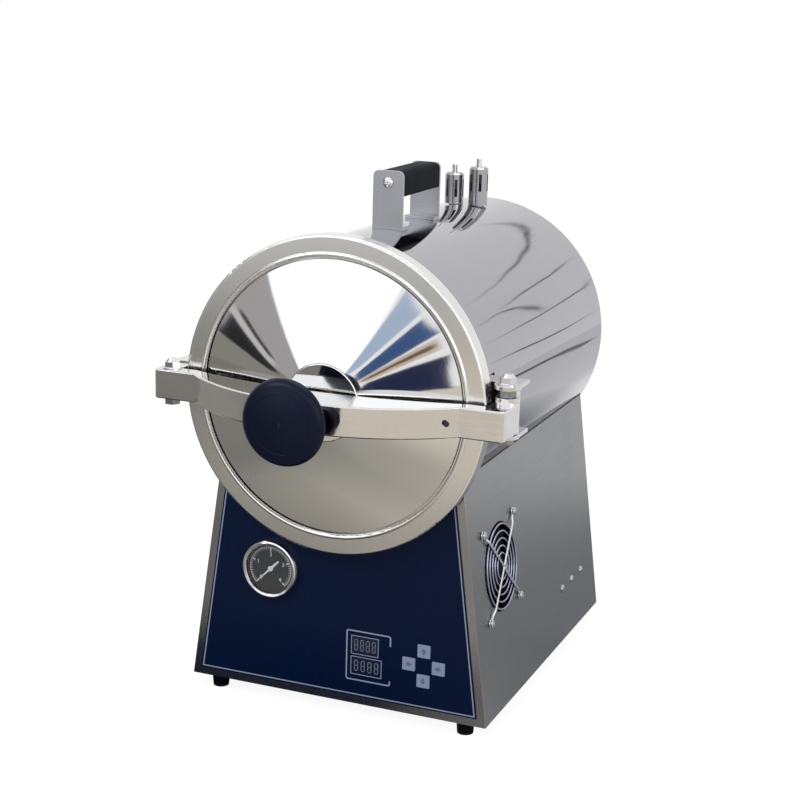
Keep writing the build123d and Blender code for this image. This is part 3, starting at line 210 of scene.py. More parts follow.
def add_piece(name, parts, finish, body, smooth=True):
    """Makes one object of closed parts, gives it a finish and lets it ride on a body."""
    points, faces = joined([(p, outward(np.asarray(p, float).reshape(-1, 3), f)) for p, f in parts])
    mesh = bpy.data.meshes.new(name)
    mesh.from_pydata(points.tolist(), [], faces)
    mesh.polygons.foreach_set("use_smooth", np.full(len(mesh.polygons), smooth))
    mesh.materials.append(finishes[finish])
    piece = add_object(name, mesh)
    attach(piece, body)
    return piece


def unit(vectors):
    """Vectors divided by their own lengths."""
    return vectors / np.maximum(np.linalg.norm(vectors, axis=-1, keepdims=True), 1e-12)


def direction(turn):
    """Unit vector in a plane: cosine and sine of an angle, or of each of an array of angles."""
    return np.stack([np.cos(turn), np.sin(turn)], axis=-1)


def circle(radius, steps):
    """Points of a circle in a plane: radius times the directions of equal angles."""
    return radius * direction(np.arange(steps) * 2 * np.pi / steps)


def lofted(points, closed=False):
    """Points and faces of a form from the rows of points that ring it. An open form is capped at its ends."""
    rows, columns = points.shape[:2]
    faces = grid_faces(rows, columns, closed, True).tolist()
    if not closed:
        faces += [list(range(columns)), list(range((rows - 1) * columns, rows * columns))[::-1]]
    return points.reshape(-1, 3), faces


def carried(path, across, up, profile, closed):
    """A closed profile carried along a path: point = path + profile x times across + profile y times up."""
    points = (
        path[:, None] + profile[None, :, 0, None] * across[:, None] + profile[None, :, 1, None] * up[:, None]
    )
    return lofted(points, closed)


def wire_ring(origin, u, v, w, radius, wire, steps=64, sides=10):
    """A round wire bent into a ring: the wire's circle carried round a circle in the plane of u and v."""
    ring = circle(1, steps)
    out = ring[:, :1] * u + ring[:, 1:] * v
    return carried(origin + radius * out, out, np.tile(w, (steps, 1)), circle(wire / 2, sides), True)


def wire_along(path, side, wire, sides=10):
    """A round wire along an open path: across is the path's direction crossed with a fixed side direction."""
    along = unit(np.gradient(path, axis=0))
    across = unit(np.cross(along, side))
    return carried(path, across, np.cross(across, along), circle(wire / 2, sides), False)


def rounded_path(corners, radius, steps=6):
    """An open path through corners rounded by parabolas: (1-t)^2 start + 2t(1-t) corner + t^2 end."""
    corners = np.asarray(corners, float)
    middle = corners[1:-1, None]
    start = middle + radius * unit(corners[:-2, None] - middle)
    end = middle + radius * unit(corners[2:, None] - middle)
    t = np.linspace(0, 1, steps)[:, None]
    bend = (1 - t) ** 2 * start + 2 * t * (1 - t) * middle + t**2 * end
    return np.concatenate([corners[:1], bend.reshape(-1, 2), corners[-1:]])


def on_front(points, y=0.0):
    """Places in space of the (x, z) points of an upright plane at depth y."""
    return np.insert(np.asarray(points, float), 1, y, axis=-1)


def sideways(vectors):
    """Vectors in a plane turned left by a right angle."""
    return np.stack([-vectors[..., 1], vectors[..., 0]], axis=-1)


def front_ribbon(path, width, front, depth, closed):
    """A flat band on an upright front face: a rectangle carried along (x, z) points, widened at each corner
    by one over the cosine of half the turn so that its width stays even."""
    path = np.asarray(path, float)
    if closed:
        ahead, behind = unit(np.roll(path, -1, axis=0) - path), unit(path - np.roll(path, 1, axis=0))
    else:
        step = unit(np.diff(path, axis=0))
        ahead, behind = np.concatenate([step, step[-1:]]), np.concatenate([step[:1], step])
    mean = unit(ahead + behind)
    normal = sideways(mean) / np.maximum((mean * ahead).sum(1, keepdims=True), 0.3)
    profile = np.array([(-0.5, 0), (0.5, 0), (0.5, 1), (-0.5, 1)]) * (width, depth)
    return carried(on_front(path, front), on_front(normal), np.tile(-REAR, (len(path), 1)), profile, closed)


def front_plate(outline, front, depth):
    """A flat shape on an upright front face: its (x, z) outline at the face and again in front of it."""
    back = on_front(outline, front)
    return lofted(np.stack([back, back - depth * REAR]))


def cross_depth(a, b, width, reach, depth):
    """Depth of a cross driven into a screw head: full where either side distance is under half the width,
    inside the reach, and none outside."""
    a, b = np.abs(a), np.abs(b)
    return np.where((np.minimum(a, b) < width / 2) & (np.maximum(a, b) < reach), depth, 0.0)


def turned(profile, origin, u, v, w, steps, cross=None):
    """A turned form: point = origin + radius (cos u + sin v) + height w, from (radius, height) pairs that
    start and end on the axis. A cross of width, reach and depth is sunk into its first end."""
    profile = np.asarray(profile, float)
    turn = circle(1, steps)
    a, b = profile[1:-1, :1] * turn[:, 0], profile[1:-1, :1] * turn[:, 1]
    height, tip = np.broadcast_to(profile[1:-1, 1:], a.shape), profile[0, 1]
    if cross:
        height, tip = height - cross_depth(a, b, *cross), tip - cross_depth(0, 0, *cross)
    points = origin + a[..., None] * u + b[..., None] * v + height[..., None] * w
    rows, around = len(points), np.arange(steps)
    after, last = (around + 1) % steps, (rows - 1) * steps
    faces = grid_faces(rows, steps, False, True).tolist()
    faces += np.stack([np.full(steps, rows * steps), around, after], axis=1).tolist()
    faces += np.stack([np.full(steps, rows * steps + 1), last + after, last + around], axis=1).tolist()
    return np.concatenate([points.reshape(-1, 3), [origin + tip * w, origin + profile[-1, 1] * w]]), faces


def side_at(z):
    """Distance of a sloping side from the middle of the base at a height."""
    return FOOT_HALF - (z - FOOT_Z) * SLOPE


def fan_place():
    """Origin and axes of the fan's place on the sloping side: to the rear, up the slope and outwards."""
    outwards = math.cos(SIDE_TILT) * RIGHT + math.sin(SIDE_TILT) * UP
    return np.array([side_at(FAN_Z), FAN_Y, FAN_Z]), REAR, np.cross(outwards, REAR), outwards


# Shader helpers


def put(tree, kind, inputs=None, **settings):
    """Adds a shader node, sets its settings, and fills its sockets with values or joins them to others."""
    node = tree.nodes.new("ShaderNode" + kind)
    for key, value in settings.items():
        setattr(node, key, value)
    for socket, source in (inputs or {}).items():
        if isinstance(source, bpy.types.NodeSocket):
            tree.links.new(source, node.inputs[socket])
        else:
            node.inputs[socket].default_value = source
    return node


def ranged(tree, source, low, high, floor=0.0, ceiling=1.0):
    """A value mapped from low..high to floor..ceiling, held inside."""
    return put(
        tree, "MapRange",
        {"Value": source, "From Min": low, "From Max": high, "To Min": floor, "To Max": ceiling},
    ).outputs["Result"]


def math_node(tree, operation, first, second):
    """Two values joined by one operation."""
    return put(tree, "Math", {0: first, 1: second}, operation=operation).outputs[0]


def vector_node(tree, operation, first, second=(0, 0, 0), output="Vector"):
    """Two vectors joined by one operation, as a vector or, where the output is Value, as a number."""
    return put(tree, "VectorMath", {0: first, 1: second}, operation=operation).outputs[output]


def object_place(tree):
    """Object coordinates."""
    return put(tree, "TexCoord").outputs["Object"]


def noise(tree, scale, detail, place=None, distortion=0.0):
    """Noise over Object coordinates, or over the place that is given."""
    place = place or object_place(tree)
    inputs = {"Vector": place, "Scale": scale, "Detail": detail, "Distortion": distortion}
    return put(tree, "TexNoise", inputs).outputs["Fac"]


def mixed(tree, share, first, second):
    """Two colours mixed by a share, each a socket or three channels."""
    first, second = (
        side if isinstance(side, bpy.types.NodeSocket) else (*side, 1) for side in (first, second)
    )
    return put(tree, "Mix", {0: share, 6: first, 7: second}, data_type="RGBA").outputs[2]


def bumped(tree, height, millimetres, normal):
    """A normal tilted by a height of so many millimetres."""
    inputs = {"Height": height, "Distance": millimetres * MM, "Normal": normal}
    return put(tree, "Bump", inputs).outputs["Normal"]


def effect(tree, group, **values):
    """Adds a node group with its values, and gives its outputs."""
    return put(tree, "Group", values, node_tree=group).outputs


def new_group(name, outputs=("Mask",), **inputs):
    """An empty shader node group: its tree, the sockets that come in and those that go out. An input is a
    vector where its default is one, and an output where it is the normal."""
    tree = bpy.data.node_groups.new(name, "ShaderNodeTree")
    for label, default in inputs.items():
        kind = "NodeSocketVector" if isinstance(default, tuple) else "NodeSocketFloat"
        tree.interface.new_socket(name=label, in_out="INPUT", socket_type=kind).default_value = default
    for label in outputs:
        kind = "NodeSocketVector" if label == "Normal" else "NodeSocketFloat"
        tree.interface.new_socket(name=label, in_out="OUTPUT", socket_type=kind)
    return tree, tree.nodes.new("NodeGroupInput").outputs, tree.nodes.new("NodeGroupOutput").inputs


def new_material(name):
    """A material with an empty node tree, and that tree."""
    material = bpy.data.materials.new(name)
    material.use_nodes = True
    material.node_tree.nodes.clear()
    return material, material.node_tree


def show(tree, shader):
    """Joins a shader to the material's output."""
    put(tree, "OutputMaterial", {"Surface": shader})


def make_groups():
    """The effects that several finishes share. Each gives a mask."""
    groups = {}

    tree, given, result = new_group("Stretched grain", Stretch=(1, 1, 1))
    place = vector_node(tree, "MULTIPLY", object_place(tree), given["Stretch"])
    tree.links.new(ranged(tree, noise(tree, 1.0, 3.0, place), 0.3, 0.7), result["Mask"])
    groups["grain"] = tree

    tree, given, result = new_group("Turned grain", Centre=(0, 0, 0), Pitch=900)
    away = vector_node(tree, "SUBTRACT", object_place(tree), given["Centre"])
    radius = vector_node(tree, "LENGTH", vector_node(tree, "MULTIPLY", away, (1, 0, 1)), output="Value")
    rings = math_node(tree, "MULTIPLY", radius, given["Pitch"])
    bands = put(tree, "TexNoise", {"W": rings, "Scale": 1.0, "Detail": 3.0}, noise_dimensions="1D")
    tree.links.new(ranged(tree, bands.outputs["Fac"], 0.3, 0.7), result["Mask"])
    groups["turned"] = tree

    tree, given, result = new_group("Handling smudges", Scale=18, Coverage=0.5)
    low = math_node(tree, "SUBTRACT", 0.8, math_node(tree, "MULTIPLY", given["Coverage"], 0.6))
    high = math_node(tree, "ADD", low, 0.3)
    tree.links.new(ranged(tree, noise(tree, given["Scale"], 5.0, None, 0.6), low, high), result["Mask"])
    groups["smudge"] = tree

    # Edge mask for the wear tint: wear, and on the handwheel a painted sheen round its rim
    tree, given, result = new_group("Worn edges", ("Mask", "Normal"), Radius=0.0008, Amount=0.5)
    bevel = put(tree, "Bevel", {"Radius": given["Radius"]}, samples=4).outputs["Normal"]
    normal = put(tree, "NewGeometry").outputs["Normal"]
    edge = ranged(tree, vector_node(tree, "DOT_PRODUCT", bevel, normal, "Value"), 0.995, 0.85)
    broken = math_node(tree, "MULTIPLY", edge, ranged(tree, noise(tree, 160.0, 4.0), 0.35, 0.6))
    tree.links.new(math_node(tree, "MULTIPLY", broken, given["Amount"]), result["Mask"])
    tree.links.new(bevel, result["Normal"])
    groups["edge"] = tree

    tree, given, result = new_group("Settled dust", Amount=0.2)
    normal = put(tree, "NewGeometry").outputs["Normal"]
    level = ranged(tree, put(tree, "SeparateXYZ", {"Vector": normal}).outputs["Z"], 0.35, 1.0)
    settled = math_node(tree, "MULTIPLY", level, ranged(tree, noise(tree, 420.0, 6.0), 0.42, 0.7))
    tree.links.new(math_node(tree, "MULTIPLY", settled, given["Amount"]), result["Mask"])
    groups["dust"] = tree
    return groups


def make_finish(name, groups, tint, shade, rough, grain, depth, dust_tint, metallic=0.0, smudge=(18, 0.5),
                wear_and_sheen=0.0, wear_and_sheen_tint=(0.6, 0.6, 0.6), dust=0.0, edge_radius=0.4, specular=0.5, waves=0.0):
    """A finish: tint darkens to shade by grain and smudges, roughness runs between two values, edges take the
    wear tint (wear, and on the handwheel a painted sheen round its rim), level faces gather dust, and the
    grain is raised by a bump. The grain is even where it is one number, stretched where it is three, and in
    rings where it is a centre and a pitch. Depths and radii are in millimetres."""
    material, tree = new_material(name)
    grain = grain if isinstance(grain, tuple) else (grain, grain, grain)
    if len(grain) == 3:
        grains = effect(tree, groups["grain"], Stretch=grain)["Mask"]
    else:
        grains = effect(tree, groups["turned"], Centre=grain[0], Pitch=grain[1])["Mask"]
    smears = effect(tree, groups["smudge"], Scale=smudge[0], Coverage=smudge[1])["Mask"]
    edges = effect(tree, groups["edge"], Radius=edge_radius * MM, Amount=wear_and_sheen)
    both = math_node(tree, "ADD", *(math_node(tree, "MULTIPLY", mask, 0.5) for mask in (grains, smears)))
    shown = mixed(tree, both, tint, shade)
    if wear_and_sheen:
        shown = mixed(tree, edges["Mask"], shown, wear_and_sheen_tint)
    if dust:
        shown = mixed(tree, effect(tree, groups["dust"], Amount=dust)["Mask"], shown, dust_tint)
    normal = edges["Normal"]
    if waves:
        normal = bumped(tree, noise(tree, 9.0, 1.0), waves, normal)
    shader = put(
        tree, "BsdfPrincipled",
        {
            "Base Color": shown, "Roughness": ranged(tree, both, 0.0, 1.0, *rough), "Metallic": metallic,
            "Normal": bumped(tree, grains, depth, normal), "Specular IOR Level": specular,
        },
    )
    show(tree, shader.outputs["BSDF"])
    return material


def make_glass(name):
    """Clear gauge glass that lets the studio's light through to the dial."""
    material, tree = new_material(name)
    glass = put(
        tree, "BsdfPrincipled",
        {
            "Base Color": (0.95, 0.97, 0.98, 1), "Transmission Weight": 1.0, "IOR": 1.45,
            "Roughness": ranged(tree, noise(tree, 90.0, 3.0), 0.4, 0.7, 0.0, 0.02),
        },
    )
    clear = put(tree, "BsdfTransparent")
    shadow = put(tree, "LightPath").outputs["Is Shadow Ray"]
    show(tree, put(tree, "MixShader", {0: shadow, 1: glass.outputs[0], 2: clear.outputs[0]}).outputs[0])
    return material


finishes = {}

DOOR = (0, 0, AXIS_Z)
DIAL = (GAUGE[0], 0, GAUGE[1])
STEEL = dict(metallic=1.0)
# Pale edge tint of the dark plastics: wear, and on the handwheel a painted sheen round its rim
SOFT = dict(wear_and_sheen_tint=(0.12, 0.12, 0.13))
# Every finish: its colour, the shares of it for tint and shade, roughness, grain, depth, the solids that
# carry it, and what else make_finish is told
FINISHES = {
    "casing_steel": (
        "casing", 1, 0.93, (0.03, 0.065), (240, 12, 240), 0.0008, "casing_shell casing_end",
        dict(STEEL, smudge=(9, 0.5), waves=0.25),
    ),
    "cone_steel": (
        "cone", 1, 0.96, (0.03, 0.07), (DOOR, 700), 0.0001, "door_cover door_boss",
        dict(STEEL, smudge=(14, 0.5)),
    ),
    "satin_steel": (
        "satin", 1, 0.92, (0.16, 0.26), (DOOR, 1100), 0.001, "door_plate", dict(STEEL, smudge=(12, 0.55)),
    ),
    "arm_steel": (
        "arm", 1, 0.9, (0.1, 0.2), (25, 500, 900), 0.0015, "swing_arm hinge_bracket catch_bracket",
        dict(STEEL, smudge=(16, 0.6), edge_radius=0.8),
    ),
    # The sides' brushed tint, set below the front's, is painted shade on the sides
    "brushed_steel": (
        "brushed", 1, 0.9, (0.3, 0.42), (700, 14, 700), 0.006,
        "side_panel_left side_panel_right base_pan tray_rack trays", dict(STEEL, smudge=(7, 0.5)),
    ),
    "front_steel": (
        "front", 1, 0.85, (0.2, 0.3), (14, 700, 900), 0.006, "front_plate rear_panel handle_plates",
        dict(STEEL, smudge=(7, 0.5)),
    ),
    "vessel_steel": (
        "brushed", 1, 0.8, (0.2, 0.38), (90, 600, 90), 0.004,
        "pressure_vessel vessel_flange exhaust_pipe heater spindle hinge_pin latch_bolt foot_screws",
        dict(STEEL, smudge=(9, 0.7)),
    ),
    "chrome": (
        "chrome", 1, 0.93, (0.05, 0.12), 300, 0.001,
        "hinge_nut latch_nut exhaust_valve_stem safety_valve_stem fan_guard fan_screws dome_screws "
        "handle_screws",
        dict(STEEL, smudge=(40, 0.5), edge_radius=0.3),
    ),
    # valve_steel and screw_steel are darker copies of chrome: painted shade standing in for the darker room
    # that the valve bodies and the side's screws mirror
    "valve_steel": (
        "chrome", 0.55, 0.4, (0.1, 0.18), (120, 120, 1500), 0.002, "exhaust_valve_body safety_valve_body",
        dict(STEEL, smudge=(40, 0.5)),
    ),
    "screw_steel": ("chrome", 0.6, 0.5, (0.06, 0.12), 300, 0.001, "", dict(STEEL, smudge=(40, 0.5))),
    "ring_steel": ("rings", 1, 0.8, (0.1, 0.18), 300, 0.001, "", dict(STEEL, smudge=(40, 0.5))),
    "bezel_chrome": (
        "chrome", 1, 0.9, (0.1, 0.2), (DIAL, 2500), 0.002, "gauge_bezel", dict(STEEL, smudge=(40, 0.4)),
    ),
    "brass": (
        "brass", 1, 0.8, (0.22, 0.36), (200, 200, 900), 0.004, "arm_bush solenoid_valve drain_spigot", STEEL,
    ),
    "panel_film": (
        "navy", 1, 0.7, (0.24, 0.38), 1500, 0.004, "control_overlay", dict(smudge=(9, 0.6), specular=0.12),
    ),
    "panel_print": ("stripe", 1, 0.82, (0.35, 0.5), 2200, 0.004, "", dict(specular=0.3)),
    "key_plastic": (
        "key", 1, 0.78, (0.38, 0.52), 2400, 0.01, "key_up key_left key_right key_down",
        dict(wear_and_sheen=0.3, wear_and_sheen_tint=(0.5, 0.54, 0.62)),
    ),
    "key_print": ("key", 0.5, 0.4, (0.4, 0.55), 2400, 0.004, "", {}),
    "display_window": ("window", 1, 0.7, (0.1, 0.22), 900, 0.002, "display_windows", {}),
    "display_segment": ("digit", 1, 0.8, (0.3, 0.45), 2400, 0.002, "", {}),
    # The handwheel's pale edges are partly wear and partly a painted sheen round its rim
    "knob_phenolic": (
        "knob", 1, 0.6, (0.28, 0.44), 700, 0.02, "handwheel",
        dict(SOFT, smudge=(22, 0.6), wear_and_sheen=0.3, specular=0.16),
    ),
    "black_plastic": (
        "black", 1, 0.7, (0.5, 0.65), 1600, 0.03,
        "handle_grip spindle_collar gauge_case power_inlet power_rocker",
        dict(SOFT, smudge=(20, 0.5), wear_and_sheen=0.1, specular=0.05),
    ),
    "fan_plastic": (
        "black", 0.8, 0.5, (0.42, 0.6), 1400, 0.02, "fan_frame fan_rotor",
        dict(SOFT, dust=0.1, specular=0.15),
    ),
    "foot_rubber": (
        "rubber", 1, 0.7, (0.6, 0.8), 900, 0.06, "feet",
        dict(SOFT, smudge=(60, 0.6), wear_and_sheen=0.25, dust=0.1, specular=0.1),
    ),
    "gasket_silicone": ("silicone", 1, 0.85, (0.45, 0.6), 500, 0.02, "door_gasket", {}),
    "wrap_foil": ("foil", 1, 0.75, (0.28, 0.45), (60, 90, 60), 0.3, "insulation", dict(metallic=0.9)),
    "gauge_face": ("dial", 1, 0.7, (0.45, 0.6), 2600, 0.004, "gauge_dial", dict(specular=0.08)),
    "gauge_print": ("mark", 1, 0.85, (0.4, 0.55), 2600, 0.004, "gauge_needle", {}),
    "circuit_board": ("board", 1, 0.6, (0.3, 0.5), 300, 0.02, "display_board", {}),
    "core_iron": ("iron", 1, 0.6, (0.45, 0.65), (20, 20, 2000), 0.05, "transformer", dict(metallic=0.6)),
    # Dark colour of the seams and the grub screw, and the painted shade inside the valves' outlet slots
    "dark_sealant": ("black", 1.2, 0.8, (0.5, 0.7), 600, 0.03, "", {}),
}


def make_finishes(tones):
    """Makes every finish and gives it to the solids that carry it."""
    groups = make_groups()
    dust = tuple(tones.dust)
    for name, (label, tint, shade, rough, grain, depth, nodes, others) in FINISHES.items():
        tint, shade = (tuple(channel * share for channel in getattr(tones, label)) for share in (tint, shade))
        finishes[name] = make_finish(name, groups, tint, shade, rough, grain, depth, dust, **others)
        for node in nodes.split():
            dress(node, finishes[name])
    finishes["gauge_glass"] = make_glass("gauge_glass")
    dress("gauge_glass", finishes["gauge_glass"])


def dress(node, material):
    """Gives a solid's object one finish."""
    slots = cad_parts[node].data.materials
    slots.clear()
    slots.append(material)


class AUTOCLAVE_OT_finishes(bpy.types.Operator):
    """Make every finish and give it to the solids"""

    bl_idname = "autoclave.finishes"
    bl_label = "Finishes"

    def execute(self, context):
        make_finishes(context.scene.autoclave_colours)
        made = list(finishes.values())
        bare = sorted(name for name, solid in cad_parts.items() if solid.data.materials[0] not in made)
        if bare:
            raise RuntimeError(f"solids without a finish: {bare}")
        return {"FINISHED"}


# The panel film: its distance from the sheet's edge and the radius of its hollow round the door
FILM_INSET = 0.0085
FILM_HOLLOW = 0.152
# Corners of the line round the displays, as (x, z), and how far its corners are rounded
BRACKET = [
    (0.0605, 0.083), (0.0605, 0.0935), (0.0125, 0.0935), (0.0125, 0.0405), (0.0605, 0.0405), (0.0605, 0.0455),
]
BRACKET_ROUND = 0.0022
# The two display windows: centre (x, z), width and height, and the line round each
DISPLAYS = [(0.0325, 0.0785, 0.028, 0.018), (0.0343, 0.0562, 0.032, 0.0175)]
FRAME_LINE = 0.0008
# Figures on each display, the share of the window's width that each takes, and the shares of that and of the
# window's height that a figure fills
FIGURES = 4
FIGURE_PITCH = 1 / 4.3
FIGURE_WIDTH = 0.62
FIGURE_HEIGHT = 0.68
# A figure's face behind the film's, and the share of its width that a bar is thick
FIGURE_SUNK = 0.0002
BAR_SHARE = 0.2
# A key's arrow pointing up, as (x, z) from the key's centre
ARROW = np.array([
    (0, 0.0032), (-0.0032, -0.0004), (-0.0013, -0.0004), (-0.0013, -0.0032),
    (0.0013, -0.0032), (0.0013, -0.0004), (0.0032, -0.0004),
])


def side_meets(inset, radius):
    """Height at which a line inset from the sloping side meets a circle round the casing's axis: the lower
    root of the quadratic."""
    half = side_at(AXIS_Z) - inset
    a, b, c = 1 + SLOPE**2, 2 * half * SLOPE, half**2 - radius**2
    return AXIS_Z - (math.sqrt(b**2 - 4 * a * c) - b) / (2 * a)


class AUTOCLAVE_OT_panel_print(bpy.types.Operator):
    """Print the pale pinstripe, the display outline and the display frames on the panel film"""

    bl_idname = "autoclave.panel_print"
    bl_label = "Panel print"

    def execute(self, context):
        sizes = context.scene.autoclave_sizes
        inset, hollow = sizes.stripe_inset + FILM_INSET, sizes.stripe_inset + FILM_HOLLOW
        low, high = FOOT_Z + inset, side_meets(inset, hollow)
        half_low, half_high = side_at(low) - inset, side_at(high) - inset
        start = math.atan2(high - AXIS_Z, half_high)
        arc = (0, AXIS_Z) + hollow * direction(np.linspace(start, -math.pi - start, 90))
        outline = rounded_path(BRACKET, BRACKET_ROUND)
        lines = [
            (np.concatenate([[(-half_low, low), (half_low, low)], arc]), sizes.stripe_width, True),
            (outline, sizes.outline_width, False),
        ]
        for x, z, width, height in DISPLAYS:
            half = np.array([width / 2 + FRAME_LINE, height / 2 + FRAME_LINE])
            lines.append(((x, z) + half * SQUARE, FRAME_LINE, True))
        depth = sizes.print_depth
        parts = [front_ribbon(path, width, OVERLAY_Y, depth, closed) for path, width, closed in lines]
        add_piece("panel_print", parts, "panel_print", "case", smooth=False)
        return {"FINISHED"}


class AUTOCLAVE_OT_readouts(bpy.types.Operator):
    """Lay unlit seven-segment figures on each display window's face"""

    bl_idname = "autoclave.readouts"
    bl_label = "Readouts"

    def execute(self, context):
        depth = context.scene.autoclave_sizes.print_depth
        parts = []
        for x, z, width, height in DISPLAYS:
            pitch = width * FIGURE_PITCH
            for figure in range(FIGURES):
                centre = (x + (figure - (FIGURES - 1) / 2) * pitch, z)
                outlines = seven_segments(centre, pitch * FIGURE_WIDTH, height * FIGURE_HEIGHT)
                parts += [front_plate(outline, OVERLAY_Y + FIGURE_SUNK, depth) for outline in outlines]
        add_piece("display_figures", parts, "display_segment", "case", smooth=False)
        return {"FINISHED"}


def segment(half_length, half_width):
    """Outline of a level bar with pointed ends."""
    inner = half_length - half_width
    return np.array([(-half_length, 0), (-inner, half_width), (inner, half_width), (half_length, 0),
                     (inner, -half_width), (-inner, -half_width)])


def seven_segments(centre, width, height):
    """Outlines of the seven bars of one figure, level or upright, each set in from its neighbours."""
    bar = width * BAR_SHARE
    flat = segment(width / 2 - bar * 0.6, bar / 2)
    tall = segment(height / 4 - bar * 0.6, bar / 2)[:, ::-1]
    places = [(flat, 0, side * (height / 2 - bar / 2)) for side in (-1, 0, 1)]
    places += [
        (tall, side * (width / 2 - bar / 2), rise * (height / 4 - bar / 4))
        for side in (-1, 1) for rise in (-1, 1)
    ]
    return [outline + centre + (x, z) for outline, x, z in places]


class AUTOCLAVE_OT_key_marks(bpy.types.Operator):
    """Print a plain arrow on each key"""

    bl_idname = "autoclave.key_marks"
    bl_label = "Key marks"

    def execute(self, context):
        depth = context.scene.autoclave_sizes.print_depth
        for turns, name in enumerate(("up", "left", "down", "right")):
            low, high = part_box(f"key_{name}")
            along = direction(turns * math.pi / 2)
            turn = np.array([along, (-along[1], along[0])])
            mark = front_plate(ARROW @ turn + ((low.x + high.x) / 2, (low.z + high.z) / 2), low.y, depth)
            add_piece(f"key_mark_{name}", [mark], "key_print", f"key_{name}", smooth=False)
        return {"FINISHED"}


# The dial's scale: angle of its start, sweep, divisions, divisions between long marks, long and short marks'
# inner radii and half widths, their outer radius, radius and width of the line that joins them, and radius
# and height of the numbers. Then the needle's tail: distances from the centre and half widths of its two
# ends, face and thickness.
DIAL_START = math.radians(225)
DIAL_SWEEP = math.radians(270)
DIAL_MARKS = 40
DIAL_LONG = 10
DIAL_INNER = (0.0188, 0.0206)
DIAL_HALF = (0.0006, 0.00026)
DIAL_OUTER = 0.0228
DIAL_LINE = 0.0231
DIAL_LINE_WIDTH = 0.0005
NUMBER_RADIUS = 0.0153
NUMBER_SIZE = 0.0062
TAIL_ENDS = (0.002, 0.013)
TAIL_HALF = (0.0012, 0.0008)
TAIL_FACE = 0.0004
TAIL_THICK = 0.00038


class AUTOCLAVE_OT_gauge_scale(bpy.types.Operator):
    """Print the gauge's scale and numbers on its dial, and give the needle its tail"""

    bl_idname = "autoclave.gauge_scale"
    bl_label = "Gauge scale"

    def execute(self, context):
        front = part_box("gauge_dial")[0].y
        depth = 1.5 * context.scene.autoclave_sizes.print_depth
        out = direction(DIAL_START - np.linspace(0, DIAL_SWEEP, DIAL_MARKS + 1))
        long = (np.arange(DIAL_MARKS + 1) % DIAL_LONG == 0)[:, None]
        inner, side = np.where(long, *DIAL_INNER), np.where(long, *DIAL_HALF) * sideways(out)
        bars = [out * inner - side, out * DIAL_OUTER - side, out * DIAL_OUTER + side, out * inner + side]
        parts = [front_plate(bar, front, depth) for bar in np.stack(bars, axis=1) + GAUGE]
        line = direction(DIAL_START - np.linspace(0, DIAL_SWEEP, 80)) * DIAL_LINE + GAUGE
        parts.append(front_ribbon(line, DIAL_LINE_WIDTH, front, depth, False))
        add_piece("gauge_scale", parts, "gauge_print", "case", smooth=False)
        for figure, way in enumerate(out[::DIAL_LONG]):
            x, z = NUMBER_RADIUS * way + GAUGE
            add_figure(f"gauge_number_{figure}", str(figure), NUMBER_SIZE, Vector((x, front, z)), depth)
        away = direction(DIAL_START - math.pi)
        near, far = (end * away for end in TAIL_ENDS)
        wide, narrow = (half * sideways(away) for half in TAIL_HALF)
        tail = np.array([near - wide, far - narrow, far + narrow, near + wide]) + GAUGE
        tail_part = front_plate(tail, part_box("gauge_needle")[0].y + TAIL_FACE, TAIL_THICK)
        add_piece("needle_tail", [tail_part], "gauge_print", "needle", smooth=False)
        return {"FINISHED"}


def add_figure(name, words, size, place, depth):
    """A raised number on the dial, made a mesh before it is put in place facing the front."""
    curve = bpy.data.curves.new(name, "FONT")
    curve.body, curve.size, curve.extrude = words, size, depth / 2
    curve.align_x, curve.align_y = "CENTER", "CENTER"
    text = bpy.data.objects.new(name, curve)
    mesh = bpy.data.meshes.new_from_object(text)
    shift = Matrix.Translation(place - Vector((0, depth / 2, 0)))
    mesh.transform(shift @ Matrix.Rotation(math.pi / 2, 4, "X"))
    mesh.materials.clear()
    mesh.materials.append(finishes["gauge_print"])
    bpy.data.objects.remove(text)
    piece = add_object(name, mesh)
    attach(piece, "case")


# The guard: radii of its rings and of its eyes, top of its legs over the panel, where the legs start to fall
# to their feet and over what length, and how far they stop short of the screws
GUARD_RINGS = (0.014, 0.0215, 0.029, 0.0365, 0.044)
EYE_RADIUS = 0.0033
GUARD_TOP = 0.0050
LEG_FALL = 0.049
LEG_FALL_LENGTH = 0.010
LEG_SHORT = 0.0032


class AUTOCLAVE_OT_wire_guard(bpy.types.Operator):
    """Bend the fan guard from round wire: five rings on two crossed legs with an eye at each screw"""

    bl_idname = "autoclave.wire_guard"
    bl_label = "Wire guard"

    def execute(self, context):
        sizes = context.scene.autoclave_sizes
        wire, leg = sizes.guard_wire, sizes.leg_wire
        origin, rear, up, outwards = fan_place()
        ring_level, leg_level, foot_level = wire * 0.6, GUARD_TOP - leg / 2, leg * 0.52
        centre = origin + ring_level * outwards
        rings = [wire_ring(centre, rear, up, outwards, radius, wire) for radius in GUARD_RINGS]
        guard = add_piece("fan_wire_rings", rings, "ring_steel", "case")
        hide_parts("fan_guard")
        parts = []
        reach = FAN_SCREWS * math.sqrt(2)
        distance = np.linspace(-1, 1, 61) * (reach - LEG_SHORT)
        fall = np.clip((np.abs(distance) - LEG_FALL) / LEG_FALL_LENGTH, 0, 1)
        rise = leg_level + (foot_level - leg_level) * (3 * fall**2 - 2 * fall**3)
        for sign in (-1, 1):
            along = (rear + sign * up) / math.sqrt(2)
            path = origin + distance[:, None] * along + rise[:, None] * outwards
            parts.append(wire_along(path, outwards, leg))
            for end in (-1, 1):
                eye = centre + end * reach * along
                parts.append(wire_ring(eye, rear, up, outwards, EYE_RADIUS, wire * 0.9, 28))
        add_piece("fan_wire_legs", parts, "chrome", "case")
        return {"FINISHED"}


